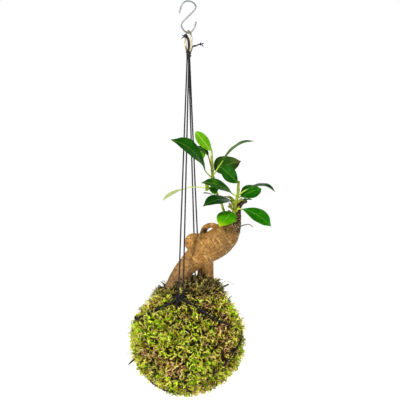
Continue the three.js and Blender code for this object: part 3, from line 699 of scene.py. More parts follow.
hookLine = [
    (-10.8, -13.8), (-9.3, -8.7), (-7.4, -3.4), (-4.2, 0.1), (0, 1.0), (4.1, 0.2), (7.9, -2.4),
    (9.7, -6.2), (7.9, -10.3), (3.5, -15), (-2.9, -21.2), (-6.8, -25.2), (-8.1, -28.8), (-6.9, -32.8),
    (-3.6, -36.8), (0.6, -38.7), (4.4, -36.9), (7.3, -33.2), (8.9, -29.3), (10.2, -24.4),
]
hookWire = {"endShare": 0.72, "nearEndShare": 0.93, "radius": 1.0, "sides": 18, "steps": 190}
ring = {"centre": (0.6, 0.0, -48.9), "radius": 12.8, "wire": 1.15, "turn": -1.26, "lean": 0.1}
# low tone, high tone, least and most roughness, stain
metals = {
    "steel": ((0.15, 0.155, 0.165), (0.27, 0.28, 0.29), (0.42, 0.55), (0.08, 0.08, 0.085)),
    "brass": ((0.36, 0.28, 0.15), (0.56, 0.48, 0.33), (0.35, 0.5), (0.20, 0.13, 0.06)),
}


def metalMaterial(name, low, high, roughness, stain):
    material, pad = newMaterial(name)
    where = pad.where()
    tone = pad.mottled(where, 160.0, 1400.0, low, high)
    tarnish = pad.ramp(pad.noise(where, 260.0, 5.0, 0.7), 0.58, 0.72)
    pad.coat({
        "Base Color": pad.mix(tarnish, tone["Color"], stain),
        "Roughness": pad.ramp(tone["Mask"], 0.0, 1.0, *roughness),
        "Metallic": 1.0,
        "Normal": pad.bump(pad.noise(where, 900.0, 3.0), 0.12, 0.0002),
    })
    return material


def makeHanger():
    steel = metalMaterial("polishedSteel", *metals["steel"])
    brass = metalMaterial("wornBrass", *metals["brass"])
    line = splineThrough([(x, 0.0, z) for x, z in hookLine], hookWire["steps"])
    radii = np.full(len(line), hookWire["radius"])
    # the cut ends are rounded off
    radii[[0, -1]] *= hookWire["endShare"]
    radii[[1, -2]] *= hookWire["nearEndShare"]
    addPiece("sHook", tube(line, radii, hookWire["sides"]), steel, "steel", "s_hook")
    turn, lean = ring["turn"], ring["lean"]
    level = np.array([math.cos(turn), math.sin(turn) * math.cos(lean), math.sin(turn) * math.sin(lean)])
    upright = np.array([0, -math.sin(lean), math.cos(lean)])
    circle = np.array(ring["centre"]) + ring["radius"] * coil(fullTurn(120), 0.0, level, upright)
    addPiece("brassRing", tube(circle, ring["wire"], 18, True), brass, "brass", "brass_ring")


makeHanger()


# all places in the top knot are measured from the lowest point of the ring
topKnot = {
    # three turns over the ring's wire, three round the cords below it
    "over": (-1.7, 0.0, 1.7), "overSize": (2.2, 2.3), "overThick": 0.85, "overDrop": (0, 0, -0.3),
    "round": ((-3.0, 2.3, 0.3), (-4.5, 2.5, -0.2), (-5.9, 2.2, 0.15)), "thick": 0.95,
    "roundLean": 2.2, "roundAside": 0.35, "steps": 60,
    # the strings come together under the ring
    "stringLow": (0, 0, -0.2), "stringHigh": (0, 0, 2.5), "meetShare": 0.5, "meetDrop": -0.8,
    # four cords run up inside the ring to a small head at its upper left
    "inner": [(0.1, 0, 1.6), (0.5, -0.4, 8), (0.1, -0.6, 13.5), (-1.4, -0.6, 17.4), (-3.2, -0.6, 19.2)],
    "innerShifts": ((-0.8, -0.6), (0.8, -0.5), (-0.6, 0.9), (0.9, 0.9)), "innerThick": 0.9,
    "innerSwell": (0.8, 1.35),
    "head": (-3.4, -0.6, 19.4), "headTilts": (0.2, 1.3, 2.3), "headSize": 2.1,
    "headDepth": (0.3, 1.9, 0.3),
    # a long end leaves to the right, doubled for its first part
    "right": [(1.6, -0.5, -2.2), (3.6, -1.2, 1.4), (5.4, -1.6, 6.2), (8.6, -1.8, 6.8),
              (12.6, -2.0, 8.7), (15.8, -2.0, 9.4)],
    "second": (0.3, 1.1, 0.9), "secondThick": 0.8,
    "bandAt": (-0.8, 0, 0), "bandAcross": (0.3, 1.3, 0), "bandUp": (0, 0, 1.4), "bandThick": 0.7,
}
# two forked ends at the head and two at the right: stops, thickness and size of the fray
headEnds = [
    ([(0, 0, 0), (-2.2, 0, -0.2), (-4.0, 0, 1.2)], 0.8, 0.8),
    ([(-0.5, 0, 0), (-2.6, -0.3, -1.4), (-4.4, -0.3, -2.4)], 0.75, 0.7),
]
rightEnds = [
    ([(0, 0, 0), (1.2, 0, 0.2), (2.2, 0, 0.6)], 0.75, 0.7),
    ([(0, 0, 0), (1.2, 0, -1.4), (2.2, -0.1, -2.8)], 0.7, 0.6),
]


# cord bound under the ring, with its loose ends
def makeTopKnot():
    rng = random.Random(11)
    look = topKnot
    foot = np.array([ring["centre"][0], 0, ring["centre"][2] - ring["radius"]])
    angle = fullTurn(look["steps"])
    wireWay = np.array([math.cos(ring["turn"]), math.sin(ring["turn"]), 0])
    outWay = np.array([wireWay[1], -wireWay[0], 0])
    wide, tall = look["overSize"]
    top = foot + look["overDrop"]
    turns = [(coil(angle, top + wireWay * shift, outWay * wide, np.array([0, 0, tall])), look["overThick"])
             for shift in look["over"]]
    for drop, reach, tilt in look["round"]:
        middle = foot + (look["roundAside"], 0, drop)
        across = np.array([reach, 0, tilt * look["roundLean"]])
        turns.append((coil(angle, middle, across, np.array([0, reach, 0])), look["thick"]))
    parts = [twistedCord(turn, thick, True) for turn, thick in turns]
    for top, _ in strings.values():
        middle = foot + (look["meetShare"] * (top[0] - foot[0]), top[1], look["meetDrop"])
        stops = [np.array(top) + look["stringLow"], np.array(top) + look["stringHigh"], middle]
        parts.append(twistedCord(splineThrough(stops, 12)))
    inner = foot + look["inner"]
    swell = np.linspace(*look["innerSwell"], len(inner))
    for sideways, forward in look["innerShifts"]:
        stops = inner + np.outer(swell, (sideways, forward, 0))
        parts.append(twistedCord(splineThrough(stops, 30), look["innerThick"]))
    head = foot + look["head"]
    for tilt in look["headTilts"]:
        spin = np.array([math.cos(tilt), 0, math.sin(tilt)])
        turn = coil(angle, head, spin * look["headSize"], np.array(look["headDepth"]))
        parts.append(twistedCord(turn, look["thick"], True))
    for stops, thick, size in headEnds:
        parts += looseEnd(head + stops, thick, rng, size)
    right = foot + look["right"]
    parts.append(twistedCord(splineThrough(right, 50), look["thick"]))
    parts.append(twistedCord(splineThrough(right[:4] + look["second"], 30), look["secondThick"]))
    turn = coil(angle, right[-1] + look["bandAt"], np.array(look["bandAcross"]), np.array(look["bandUp"]))
    parts.append(twistedCord(turn, look["bandThick"], True))
    for stops, thick, size in rightEnds:
        parts += looseEnd(right[-1] + stops, thick, rng, size)
    addPiece("topKnot", merged(parts), waxedCord, "cord", "top_knot")


makeTopKnot()
print("hook, ring and top knot made")


# trunk: separate roots and limbs grown into one skin

trunkLimbs = {
    "body": [
        (-26, -10, -397, 7.6), (-24.4, -10, -376, 9.6), (-19.6, -10, -358.5, 10.2), (-10.6, -9, -339.6, 11),
        (3.6, -6, -322.8, 12.9), (20.6, -3, -308.6, 17.1), (36.8, -1, -298.3, 18.2),
        (49.0, 0, -287.4, 15.6), (57.0, 0, -274.2, 9.2), (60.2, 0, -261.4, 5.7), (61.8, 0, -251.5, 4.7),
    ],
    "sideRoot": [
        (8.5, 1, -299, 6.5), (6.4, 0, -309.8, 6.6), (-2.6, -1, -322.4, 7.6), (-11.4, -4, -336.5, 7.2),
        (-20.0, -6, -353, 7.0), (-23.5, -8, -371, 6.0),
    ],
    "rightLeg": [
        (23, 8, -303, 9.6), (22.2, 10, -318, 9.6), (21.8, 11, -334, 10.2), (21.4, 11, -352, 10.8),
        (19.6, 10, -371, 9.4), (17.4, 8, -393, 7.4),
    ],
    "ear": [
        (17.5, 3, -297, 4.8), (18.8, 3, -287.5, 4.3), (21.4, 3, -280.4, 3.9), (28.2, 3, -276.9, 3.2),
        (35.4, 2, -279.0, 3.8), (42.0, 1, -286.0, 5.6),
    ],
    "stub": [
        (61.0, 0, -254.5, 4.0), (66.0, 1, -249.3, 3.4), (72.4, 2, -245.6, 2.9),
    ],
}
trunkBumps = [((7.4, 3, -298.4), 11.8), ((13.2, -2.2, -291.8), 5.2)]
hairRoot = [
    (63, 0, -279.2, 0.9), (70, -1, -276.4, 0.6), (76.6, -2, -276, 0.5), (80.2, -2, -279.3, 0.45),
]
bark = {"voxel": 0.62, "smoothing": 10, "roll": 0.45, "neckRoughness": 0.75,
        "creaseDepth": 0.9, "creaseWidth": 1.5, "creaseShare": 0.75, "holeDepth": 1.8, "holeWidth": 1.4,
        "rolls": ((11.0, 0.0, 0.7), (4.5, 3.1, 0.3)), "knobs": ((2.6, 7.7, 0.6), (1.2, 1.9, 0.4)),
        "scarPitch": 1.7, "scarShare": 0.3}
neckZone = {"level": 284, "slant": 1.1, "slantFrom": 55, "fade": 9, "start": 44, "spread": 8}
# fold between the body and the side root, on the front; it is dipped in the skin and darkened in the bark's
# colour as painted shade
crease = [(12.2, -288.2), (8.8, -296.1), (7.8, -304.9), (5.8, -312.7), (3.4, -320.5), (2.4, -326.3)]
# small knot pit on the front, dipped and darkened in the bark's colour as painted shade
knotHole = (16.1, -292.0)
# dip inside the ear loop, also darkened to near-black in the bark's colour as painted shadow
earHollow = {"at": (20.6, -283.6), "half": (4.4, 2.8), "depth": 2.0}


def sphere(centre, radius, levels):
    form = bmesh.new()
    bmesh.ops.create_icosphere(form, subdivisions=levels, radius=radius)
    verts = np.array([v.co for v in form.verts]) + np.array(centre)
    faces = [tuple(v.index for v in f.verts) for f in form.faces]
    form.free()
    return {"verts": verts, "faces": faces, "uv": np.zeros((len(verts), 2)), "tags": {}}


def applied(piece):
    graph = bpy.context.evaluated_depsgraph_get()
    mesh = bpy.data.meshes.new_from_object(piece.evaluated_get(graph))
    bpy.data.objects.remove(piece)
    return mesh


def measured(mesh, field):
    found = np.zeros(len(mesh.vertices) * 3, np.float32)
    mesh.vertices.foreach_get(field, found)
    return found.reshape(-1, 3).astype(float)


def noiseValues(points, size, seed):
    places = points / size + (seed, 0.0, 0.0)
    return np.array([noise.noise(Vector(place)) for place in places])


# number of the nearest stop of a line, and how far away it is
def nearest(points, line):
    tree = KDTree(len(line))
    for i, p in enumerate(line):
        tree.insert(Vector(p), i)
    tree.balance()
    found = [tree.find(Vector(p)) for p in points]
    return np.array([item[1] for item in found]), np.array([item[2] for item in found])


# noise of several sizes: size, seed and share of each
def layeredNoise(points, layers):
    return sum(noiseValues(points, size, seed) * share for size, seed, share in layers)


def awayFromLine(points, line):
    best = np.full(len(points), 1e9)
    for a, b in zip(line[:-1], line[1:]):
        a, b = np.array(a, float), np.array(b, float)
        t = np.clip((points - a) @ (b - a) / ((b - a) @ (b - a)), 0, 1)
        best = np.minimum(best, np.linalg.norm(points - (a + t[:, None] * (b - a)), axis=1))
    return best


def trunkMesh():
    parts = [loft(stations, 28, 90) for stations in trunkLimbs.values()]
    parts += [sphere(centre, radius, 4) for centre, radius in trunkBumps]
    rough = bpy.data.objects.new("roughTrunk", meshFrom("roughTrunk", merged(parts)))
    scene.collection.objects.link(rough)
    remesh = rough.modifiers.new("grown", "REMESH")
    remesh.mode = "VOXEL"
    remesh.voxel_size = bark["voxel"] * metre
    soften = rough.modifiers.new("soften", "SMOOTH")
    soften.factor = 0.5
    soften.iterations = bark["smoothing"]
    mesh = applied(rough)
    points = measured(mesh, "co") / metre
    normals = measured(mesh, "normal")
    # nearest limb, how far along it and round it each point lies
    lines, girths, reached = [], [], []
    for stations in trunkLimbs.values():
        stations = np.array(stations, float)
        line = splineThrough(stations[:, :3], 120)
        lines.append(line)
        girths.append(splineThrough(stations[:, 3:4], 120, even=True)[:, 0])
        reached.append(travelled(line))
    best = np.full(len(points), 1e9)
    along = np.zeros(len(points))
    around = np.zeros((len(points), 2))
    for owner, (line, girth, gone) in enumerate(zip(lines, girths, reached)):
        tangents, sideA, sideB = framesAlong(line)
        found = nearest(points, line)[0]
        offset = points - line[found]
        gap = np.linalg.norm(offset, axis=1) - girth[found]
        turned = np.stack([(offset * sideA[found]).sum(1), (offset * sideB[found]).sum(1)], axis=1)
        turned *= girth.mean() / np.linalg.norm(turned, axis=1)[:, None].clip(0.5)
        closer = gap < best
        best = np.where(closer, gap, best)
        fine = (offset * tangents[found]).sum(1)
        along = np.where(closer, gone[found] + fine + owner * 300, along)
        around = np.where(closer[:, None], turned, around)
    # the dark neck reaches lower on its outer side
    rise = points[:, 2] + neckZone["level"] + neckZone["slant"] * (points[:, 0] - neckZone["slantFrom"])
    sideways = (points[:, 0] - neckZone["start"]) / neckZone["spread"]
    neck = np.clip(rise / neckZone["fade"], 0, 1) * np.clip(sideways, 0, 1)
    roll = layeredNoise(points, bark["rolls"])
    knobbly = layeredNoise(points, bark["knobs"])
    # the crease, knot pit and ear-loop recess are dipped, and also kept as masks that darken the bark's
    # colour as painted shade on the front
    front = np.clip(-normals[:, 1] * 2, 0, 1)
    flat = points[:, [0, 2]]
    fold = np.exp(-(awayFromLine(flat, crease) / bark["creaseWidth"]) ** 2)
    creased = bark["creaseShare"] * fold * front
    hole = np.exp(-(np.linalg.norm(flat - np.array(knotHole), axis=1) / bark["holeWidth"]) ** 2) * front
    hollow = np.linalg.norm((flat - np.array(earHollow["at"])) / np.array(earHollow["half"]), axis=1)
    hollow = np.exp(-hollow ** 4) * front
    scars = np.maximum(np.sin(points[:, 2] / bark["scarPitch"] + knobbly), 0) ** 3
    shift = (roll * bark["roll"] + neck * (knobbly * bark["neckRoughness"] + bark["scarShare"] * scars)
             - creased * bark["creaseDepth"] - hole * bark["holeDepth"] - hollow * earHollow["depth"])
    points = points + normals * shift[:, None]
    mesh.vertices.foreach_set("co", (points * metre).astype(np.float32).ravel())
    dress(mesh, {"grain": np.column_stack([along, around]) / 10, "neck": neck,
                 "creased": np.clip(creased + hole, 0, 1), "hollow": np.clip(hollow, 0, 1)})
    return mesh


barkTones = {
    "shade": (0.085, 0.035, 0.006), "tan": (0.385, 0.192, 0.041), "pale": (0.66, 0.42, 0.16),
    "warm": (0.280, 0.092, 0.007), "aged": (0.090, 0.044, 0.009), "grey": (0.120, 0.072, 0.030),
    "fleck": (0.86, 0.62, 0.28), "neck": (0.030, 0.013, 0.004), "burnt": (0.010, 0.006, 0.003),
    "deep": (0.030, 0.011, 0.003),
}


def barkMaterial():
    material, pad = newMaterial("figBark")
    tones = barkTones
    where = pad.where()
    place = pad.split(where)
    grain = pad.attribute("grain", "Vector")
    along = pad.split(grain)["X"]
    tone = pad.mottled(where, 60.0, 420.0, tones["shade"], tones["tan"])
    colour = pad.mix(0.45, tone["Color"], tones["tan"])
    warmth = pad.ramp(pad.noise(where, 34.0, 3.0), 0.45, 0.68)
    colour = pad.mix(pad.times(warmth, 0.5), colour, tones["warm"])
    # the foot of each leg is greyer
    low = pad.ramp(place["Z"], -0.312, -0.350)
    low = pad.times(low, pad.ramp(place["X"], 0.014, 0.004, 0.25, 1.0))
    greyed = pad.times(low, pad.ramp(pad.noise(where, 45.0, 2.0), 0.3, 0.6, 0.35, 0.9))
    colour = pad.mix(greyed, colour, tones["grey"])
    # darker towards the neck
    high = pad.ramp(place["X"], 0.024, 0.052)
    aged = pad.times(high, pad.ramp(pad.noise(where, 60.0, 3.0), 0.35, 0.65, 0.4, 0.95))
    colour = pad.mix(aged, colour, tones["aged"])
    # fine cross-hatched lines, round the limb and along it
    hoops = pad.scaled(grain, (9.0, 1.6, 1.6))
    wrinkle = pad.noise(hoops, 1.0, 5.0, 0.7, 0.5)
    streaks = pad.scaled(grain, (1.8, 13.0, 13.0))
    streak = pad.noise(streaks, 1.0, 4.0, 0.65, 0.3)
    colour = pad.mix(pad.ramp(wrinkle, 0.47, 0.62, 0.0, 0.9), colour, tones["shade"])
    colour = pad.mix(pad.ramp(streak, 0.50, 0.66, 0.0, 0.85), colour, tones["shade"])
    colour = pad.mix(pad.ramp(streak, 0.46, 0.30, 0.0, 0.55), colour, tones["pale"])
    # thin pale corky lines in broken hoops round the limb
    bent = pad.plus(along, pad.times(pad.noise(where, 40.0, 2.0), 0.5))
    ladder = pad.math("FRACT", pad.times(bent, 1.06))
    hoop = pad.math("ABSOLUTE", pad.math("SUBTRACT", ladder, 0.5))
    cells = pad.scaled(grain, (1.0, 1.25, 1.25))
    broken = pad.ramp(pad.noise(cells, 1.0, 2.0, 0.5), 0.49, 0.56)
    beads = pad.scaled(grain, (3.0, 4.5, 4.5))
    beaded = pad.ramp(pad.noise(beads, 1.0, 2.0, 0.5), 0.4, 0.6, 0.25, 1.0)
    dash = pad.times(pad.times(pad.ramp(hoop, 0.04, 0.012), broken), beaded)
    spots = pad.scaled(grain, (2.4, 1.2, 1.2))
    spot = pad.node("ShaderNodeTexVoronoi", {"Vector": spots, "Scale": 1.0, "Randomness": 1.0})
    offset = pad.node("ShaderNodeVectorMath", {0: spots, 1: spot.outputs["Position"]},
                      operation="SUBTRACT")
    thin = pad.times(pad.math("ABSOLUTE", pad.split(offset)["X"]), 12.0)
    wide = pad.node("ShaderNodeVectorMath", {0: offset}, operation="LENGTH").outputs["Value"]
    reach = pad.math("MAXIMUM", thin, pad.times(wide, 2.9))
    chance = pad.node("ShaderNodeSeparateColor", {0: spot.outputs["Color"]}).outputs[0]
    loose = pad.times(pad.ramp(reach, 1.0, 0.6), pad.ramp(chance, 0.72, 0.78))
    dash = pad.math("MAXIMUM", dash, loose)
    dash = pad.times(dash, pad.ramp(place["Z"], -0.338, -0.320))
    colour = pad.mix(pad.times(dash, 0.75), colour, tones["fleck"])
    neck = pad.attribute("neck")
    rough = pad.noise(where, 620.0, 4.0, 0.75)
    neckTone = pad.mix(pad.ramp(rough, 0.55, 0.62), tones["neck"], tones["fleck"])
    # the neck goes near-black towards its top
    burnt = pad.ramp(place["Z"], -0.266, -0.256, 0.0, 0.85)
    neckTone = pad.mix(burnt, neckTone, tones["burnt"])
    colour = pad.mix(neck, colour, neckTone)
    # painted shade: the crease and the knot pit are darkened
    colour = pad.mix(pad.times(pad.attribute("creased"), 0.75), colour, tones["deep"])
    # painted shadow: the recess inside the ear loop is darkened to near-black
    colour = pad.mix(pad.attribute("hollow"), colour, tones["burnt"])
    height = pad.plus(pad.times(wrinkle, 0.7), pad.times(dash, 0.5))
    height = pad.plus(height, pad.times(streak, -0.5))
    height = pad.plus(height, pad.times(rough, 0.6))
    pad.coat({
        "Base Color": colour, "Roughness": pad.ramp(tone["Mask"], 0.0, 1.0, 0.7, 0.55),
        "Specular IOR Level": 0.18, "Normal": pad.bump(height, 0.7, 0.0008),
    })
    return material


def makeTrunk():
    figBark = barkMaterial()
    addPiece("figTrunk", trunkMesh(), figBark, "bark", "trunk")
    thinRoot = loft(hairRoot, 7, 30, neck=0.6, creased=0.3, hollow=0.0, grain=(0.0, 0.0, 0.0))
    addPiece("hairRoot", thinRoot, figBark, "bark")


makeTrunk()
print("trunk made")


# shoots

shootLimbs = {
    "stem_front": [
        [(57.6, -3, -276.5, 2.6), (57.3, -8.6, -269, 2.3), (57.3, -9.8, -260.1, 2.0), (58.6, -9, -251, 2.2),
         (60.4, -7.6, -244.5, 1.9), (62.1, -6, -235, 1.8), (62.4, -6, -226, 1.6), (63.2, -6, -221.8, 1.2)],
        [(58.8, -6, -248.5, 1.1), (54, -2, -244.5, 0.95), (47.5, 3.5, -241.5, 0.9), (41.5, 4.5, -243, 1.0)],
    ],
    "stem_back": [
        [(49, 1, -278, 2.0), (45.2, 2, -262, 1.6), (41, 4, -248.5, 1.6), (35.6, 3.5, -236.6, 1.7),
         (31.8, 1, -222.9, 2.0), (30.2, 0, -211, 1.8), (29.6, 0, -195.7, 1.6), (29.2, 0, -184, 1.1)],
        [(34.6, 3, -232.6, 1.2), (30, 0, -231.4, 1.5), (24.5, -3, -230.8, 1.5), (21, -4, -230.6, 0.8)],
    ],
}
scaleFields = ("base", "tip", "width", "face", "arch")
shootScales = {
    "stem_front": [
        ((55.8, -11, -259.5), (50.2, -12, -248.5), 4, (0, -1, 0.2), 0.8),
        ((56.2, -10, -256.5), (48.6, -8, -253.5), 3.6, (0.2, -0.8, 0.6), 0.6),
        ((59.5, -9, -248.5), (49.5, -8, -240.2), 3.4, (0.1, -0.6, 0.8), 0.8),
        ((57, -10.5, -255), (52.5, -13, -243.5), 3.2, (0, -1, 0.2), -0.8),
        ((60.5, -8.5, -251), (67.5, -10, -242.5), 3.4, (-0.3, -0.8, 0.4), 0.8),
        ((58, -10, -262), (63.5, -12.5, -252.5), 3.4, (0.2, -1, 0.1), 0.8),
        ((56, -9, -264), (48.5, -11, -257.5), 3, (0, -0.8, 0.5), 0.6),
    ],
    "stem_back": [
        ((26, -3, -230.8), (21.2, -5, -224.6), 4.2, (-0.4, -0.9, 0.2), 0.8),
        ((27, -3, -231.5), (20.8, -6, -234.6), 3.8, (-0.2, -0.9, 0.4), 0.8),
        ((30, -1, -231.5), (27.4, -6, -224.8), 3.6, (0.2, -0.9, 0.3), 0.6),
    ],
}
shootTones = {"young": (0.23, 0.33, 0.008), "old": (0.14, 0.19, 0.008), "scar": (0.15, 0.085, 0.02),
              "pale": (0.40, 0.48, 0.06)}
scaleRows = 12
scaleColumns = [-1, -0.7, -0.3, 0, 0.3, 0.7, 1]
scaleThickness = 0.5
blade = {"rows": 44, "thickness": 0.6, "midribDip": 0.22, "midribWidth": 0.45, "ruffle": 0.012,
         "rimMark": 0.35}
bladeColumns = [1, 0.97, 0.9, 0.78, 0.64, 0.5, 0.37, 0.25, 0.15, 0.08, 0.035]
bladeColumns = [-c for c in bladeColumns] + [0] + bladeColumns[::-1]


# half width along a blade as a share of its widest; a blunt one has a rounded tip
def outlineShare(u, fullest, blunt=0.0):
    shifted = np.clip(u, 0, 1) ** (math.log(0.5) / math.log(fullest))
    oval = np.sin(math.pi * np.clip(shifted, 0, 1)) ** (0.82 - 0.3 * blunt)
    t = np.clip((u - 0.82) / 0.15, 0, 1)
    tip = 1 - 0.35 * (1 - blunt) * t * t * (3 - 2 * t)
    return np.maximum(oval * tip, np.where(u < 0.5, 0.05, 0.02))


def bezier(a, b, c, t):
    t = np.asarray(t)[:, None]
    return (1 - t) ** 2 * a + 2 * (1 - t) * t * b + t ** 2 * c


# one blade: two faces that meet in a thin rim, folded along the midrib
def bladePart(leaf, rows, columns, thickness):
    base, tip = np.array(leaf["base"], float), np.array(leaf["tip"], float)
    axis = unit(tip - base)
    face = np.array(leaf["face"], float)
    face = unit(face - axis * (face @ axis))
    across = np.cross(axis, face)
    middle = (base + tip) / 2 + face * leaf["arch"] * 2
    u = (1 - np.cos(np.linspace(0, math.pi, rows))) / 2
    u = 0.5 * u + 0.5 * np.linspace(0, 1, rows)
    centre = bezier(base, middle, tip, u)
    ahead = np.gradient(centre, axis=0)
    ahead /= np.linalg.norm(ahead, axis=1)[:, None]
    upward = np.cross(across, ahead)
    upward /= np.linalg.norm(upward, axis=1)[:, None]
    centre = centre - face * (leaf.get("curl", 0) * np.maximum(u - 0.6, 0) ** 2 * 6)[:, None]
    half = outlineShare(u, leaf.get("fullest", 0.52), leaf.get("blunt", 0.0)) * leaf["width"] / 2
    v = np.array(columns)
    uu, vv = np.meshgrid(u, v, indexing="ij")
    hh = np.broadcast_to(half[:, None], uu.shape)
    soft = np.sqrt(vv ** 2 + 0.004) - 0.063
    waveSide = np.where(vv > 0, 1.2, 0.0)
    rise = (soft * hh * leaf.get("fold", 0.2) + 0.05 * hh * vv ** 2 * np.sin(uu * 9 + waveSide)
            + blade["ruffle"] * hh * np.abs(vv) ** 3 * np.sin(uu * 23 + 4 * waveSide + leaf["width"]))
    groove = np.exp(-(vv * hh / blade["midribWidth"]) ** 2)
    dip = blade["midribDip"] * groove * np.sin(math.pi * np.clip(uu, 0, 1)) ** 0.3
    toRim = np.sqrt(np.clip(1 - np.abs(vv) ** 5, 0, 1))
    toEnds = np.sqrt(np.clip(1 - np.abs(2 * uu - 1) ** 14, 0, 1))
    thick = thickness / 2 * toRim * toEnds
    sheet = centre[:, None] + across * (vv * hh)[..., None] + upward[:, None] * rise[..., None]
    top = sheet + upward[:, None] * (thick - dip)[..., None]
    bottom = sheet - upward[:, None] * (thick + 0.3 * dip)[..., None]
    lengths = travelled(centre)
    mapped = np.stack([np.broadcast_to(lengths[:, None], uu.shape), np.abs(vv * hh), uu], -1)
    r, c = uu.shape
    grid = np.arange(r * c).reshape(r, c)
    inner = np.full((r, c), -1)
    inner[1:-1, 1:-1] = r * c + np.arange((r - 2) * (c - 2)).reshape(r - 2, c - 2)
    lower = np.where(inner >= 0, inner, grid)
    faces = []
    for i in range(r - 1):
        for j in range(c - 1):
            faces.append((grid[i, j], grid[i + 1, j], grid[i + 1, j + 1], grid[i, j + 1]))
            faces.append((lower[i, j], lower[i, j + 1], lower[i + 1, j + 1], lower[i + 1, j]))
    faces = [tuple(int(k) for k in reversed(f)) for f in faces]
    inside = (slice(1, -1), slice(1, -1))
    rim = sheet.copy()
    rim[inside] = top[inside]
    verts = np.vstack([rim.reshape(-1, 3), bottom[inside].reshape(-1, 3)])
    under = np.zeros((r, c))
    under[[0, -1]] = blade["rimMark"]
    under[:, [0, -1]] = blade["rimMark"]
    under = np.concatenate([under.ravel(), np.ones((r - 2) * (c - 2))])
    flat = np.stack([uu, 0.5 + vv / 2], -1)
    uv = np.vstack([flat.reshape(-1, 2), flat[inside].reshape(-1, 2)])
    marks = np.vstack([mapped.reshape(-1, 3), mapped[inside].reshape(-1, 3)])
    tags = {"blade": marks, "under": under, "stalk": np.zeros(len(verts))}
    return {"verts": verts, "faces": faces, "uv": uv, "tags": tags}, centre, upward, u


def shootMaterial():
    material, pad = newMaterial("greenShoot")
    where = pad.where()
    tone = pad.mottled(where, 120.0, 900.0, shootTones["old"], shootTones["young"])
    speck = pad.ramp(pad.noise(where, 500.0, 4.0), 0.6, 0.68)
    colour = pad.mix(pad.times(speck, 0.4), tone["Color"], shootTones["pale"])
    colour = pad.mix(pad.times(pad.attribute("age"), 0.75), colour, shootTones["scar"])
    pad.coat({
        "Base Color": pad.mix(pad.attribute("scar"), colour, shootTones["scar"]),
        "Roughness": pad.ramp(tone["Mask"], 0.0, 1.0, 0.5, 0.36),
        "Specular IOR Level": 0.08,
        "Subsurface Weight": 0.12,
        "Subsurface Radius": (0.002, 0.003, 0.001),
        "Normal": pad.bump(pad.noise(where, 800.0, 4.0), 0.3, 0.0003),
    })
    return material


# a limb with a raised ring at each joint
def shootLimb(stations, sides, steps, ageLow, ageHigh):
    stations = np.array(stations, float)
    line = splineThrough(stations[:, :3], steps)
    girth = splineThrough(stations[:, 3:4], steps, even=True)[:, 0]
    gone = travelled(line)
    joint = np.exp(-((gone % 8.5 - 4.0) / 0.8) ** 2)
    girth = girth * (1 + 0.16 * joint)
    girth[-1] *= 0.4
    age = np.repeat(np.linspace(ageLow, ageHigh, len(line)), sides)
    part = tube(line, girth, sides)
    part["tags"] = {"age": np.concatenate([age, [ageLow, ageHigh]]),
                    "scar": np.concatenate([np.repeat(joint * 0.55, sides), [0.8, 0.3]])}
    return part


def makeShoots():
    greenShoot = shootMaterial()
    for name, limbs in shootLimbs.items():
        parts = []
        for i, stations in enumerate(limbs):
            parts.append(shootLimb(stations, 14, 110 if i == 0 else 40, 0.35 if i == 0 else 0.1, 0.0))
        old = 0.5 if name == "stem_front" else 0.0
        for row in shootScales[name]:
            scale = dict(zip(scaleFields, row))
            part = bladePart(scale, scaleRows, scaleColumns, scaleThickness)[0]
            share = part["tags"]["blade"][:, 2]
            part["tags"] = {"age": np.full(len(share), old), "scar": share * old}
            parts.append(part)
        piece = "shootFront" if name == "stem_front" else "shootBack"
        addPiece(piece, merged(parts), greenShoot, "shoot", name)


makeShoots()


# leaves

# slot, roughness, then the tones that finishTones names
finishTones = ("Top", "Light", "Rib", "Under", "Tip", "Stalk")
leafFinishes = {
    "dark": ("leaf_dark", 0.34, (0.00367, 0.0459, 0.00122), (0.00979, 0.0765, 0.00245),
     (0.09, 0.21, 0.015), (0.0504, 0.122, 0.0144), (0.00432, 0.0396, 0.00216), (0.3, 0.4, 0.04)),
    "ruddy": ("leaf_dark", 0.34, (0.00367, 0.0459, 0.00122), (0.00979, 0.0765, 0.00245),
     (0.09, 0.21, 0.015), (0.0504, 0.122, 0.0144), (0.00432, 0.0396, 0.00216), (0.22, 0.085, 0.03)),
    "dusky": ("leaf_dark", 0.34, (0.0125, 0.0445, 0.0035), (0.031, 0.078, 0.009), (0.09, 0.17, 0.02),
     (0.0504, 0.122, 0.0144), (0.058, 0.04, 0.014), (0.3, 0.4, 0.04)),
    "deep": ("leaf_dark", 0.32, (0.00166, 0.0243, 0.00108), (0.0054, 0.0459, 0.00166),
     (0.0525, 0.15, 0.015), (0.0432, 0.108, 0.0144), (0.00432, 0.0288, 0.00216), (0.28, 0.38, 0.04)),
    "olive": ("leaf_dark", 0.36, (0.0068, 0.0476, 0.00208), (0.0238, 0.0884, 0.00544),
     (0.105, 0.195, 0.0225), (0.08, 0.16, 0.024), (0.0096, 0.036, 0.0032), (0.32, 0.42, 0.05)),
    "mid": ("leaf_mid", 0.34, (0.00429, 0.0693, 0.000518), (0.0138, 0.107, 0.00163),
     (0.075, 0.255, 0.015), (0.074, 0.192, 0.0148), (0.00888, 0.111, 0.00148), (0.32, 0.46, 0.04)),
    "bright": ("leaf_mid", 0.36, (0.0202, 0.148, 0.000656), (0.0504, 0.215, 0.00131),
     (0.15, 0.345, 0.015), (0.115, 0.279, 0.0164), (0.246, 0.377, 0.00328), (0.36, 0.5, 0.04)),
    "lime": ("leaf_young", 0.36, (0.0514, 0.191, 0.000952), (0.093, 0.235, 0.00394),
     (0.315, 0.465, 0.075), (0.15, 0.286, 0.0204), (0.0816, 0.245, 0.00204), (0.38, 0.5, 0.05)),
    "pale": ("leaf_pale", 0.45, (0.264, 0.33, 0.099), (0.33, 0.383, 0.145), (0.45, 0.51, 0.255),
     (0.277, 0.343, 0.119), (0.198, 0.277, 0.0396), (0.4, 0.5, 0.12)),
}

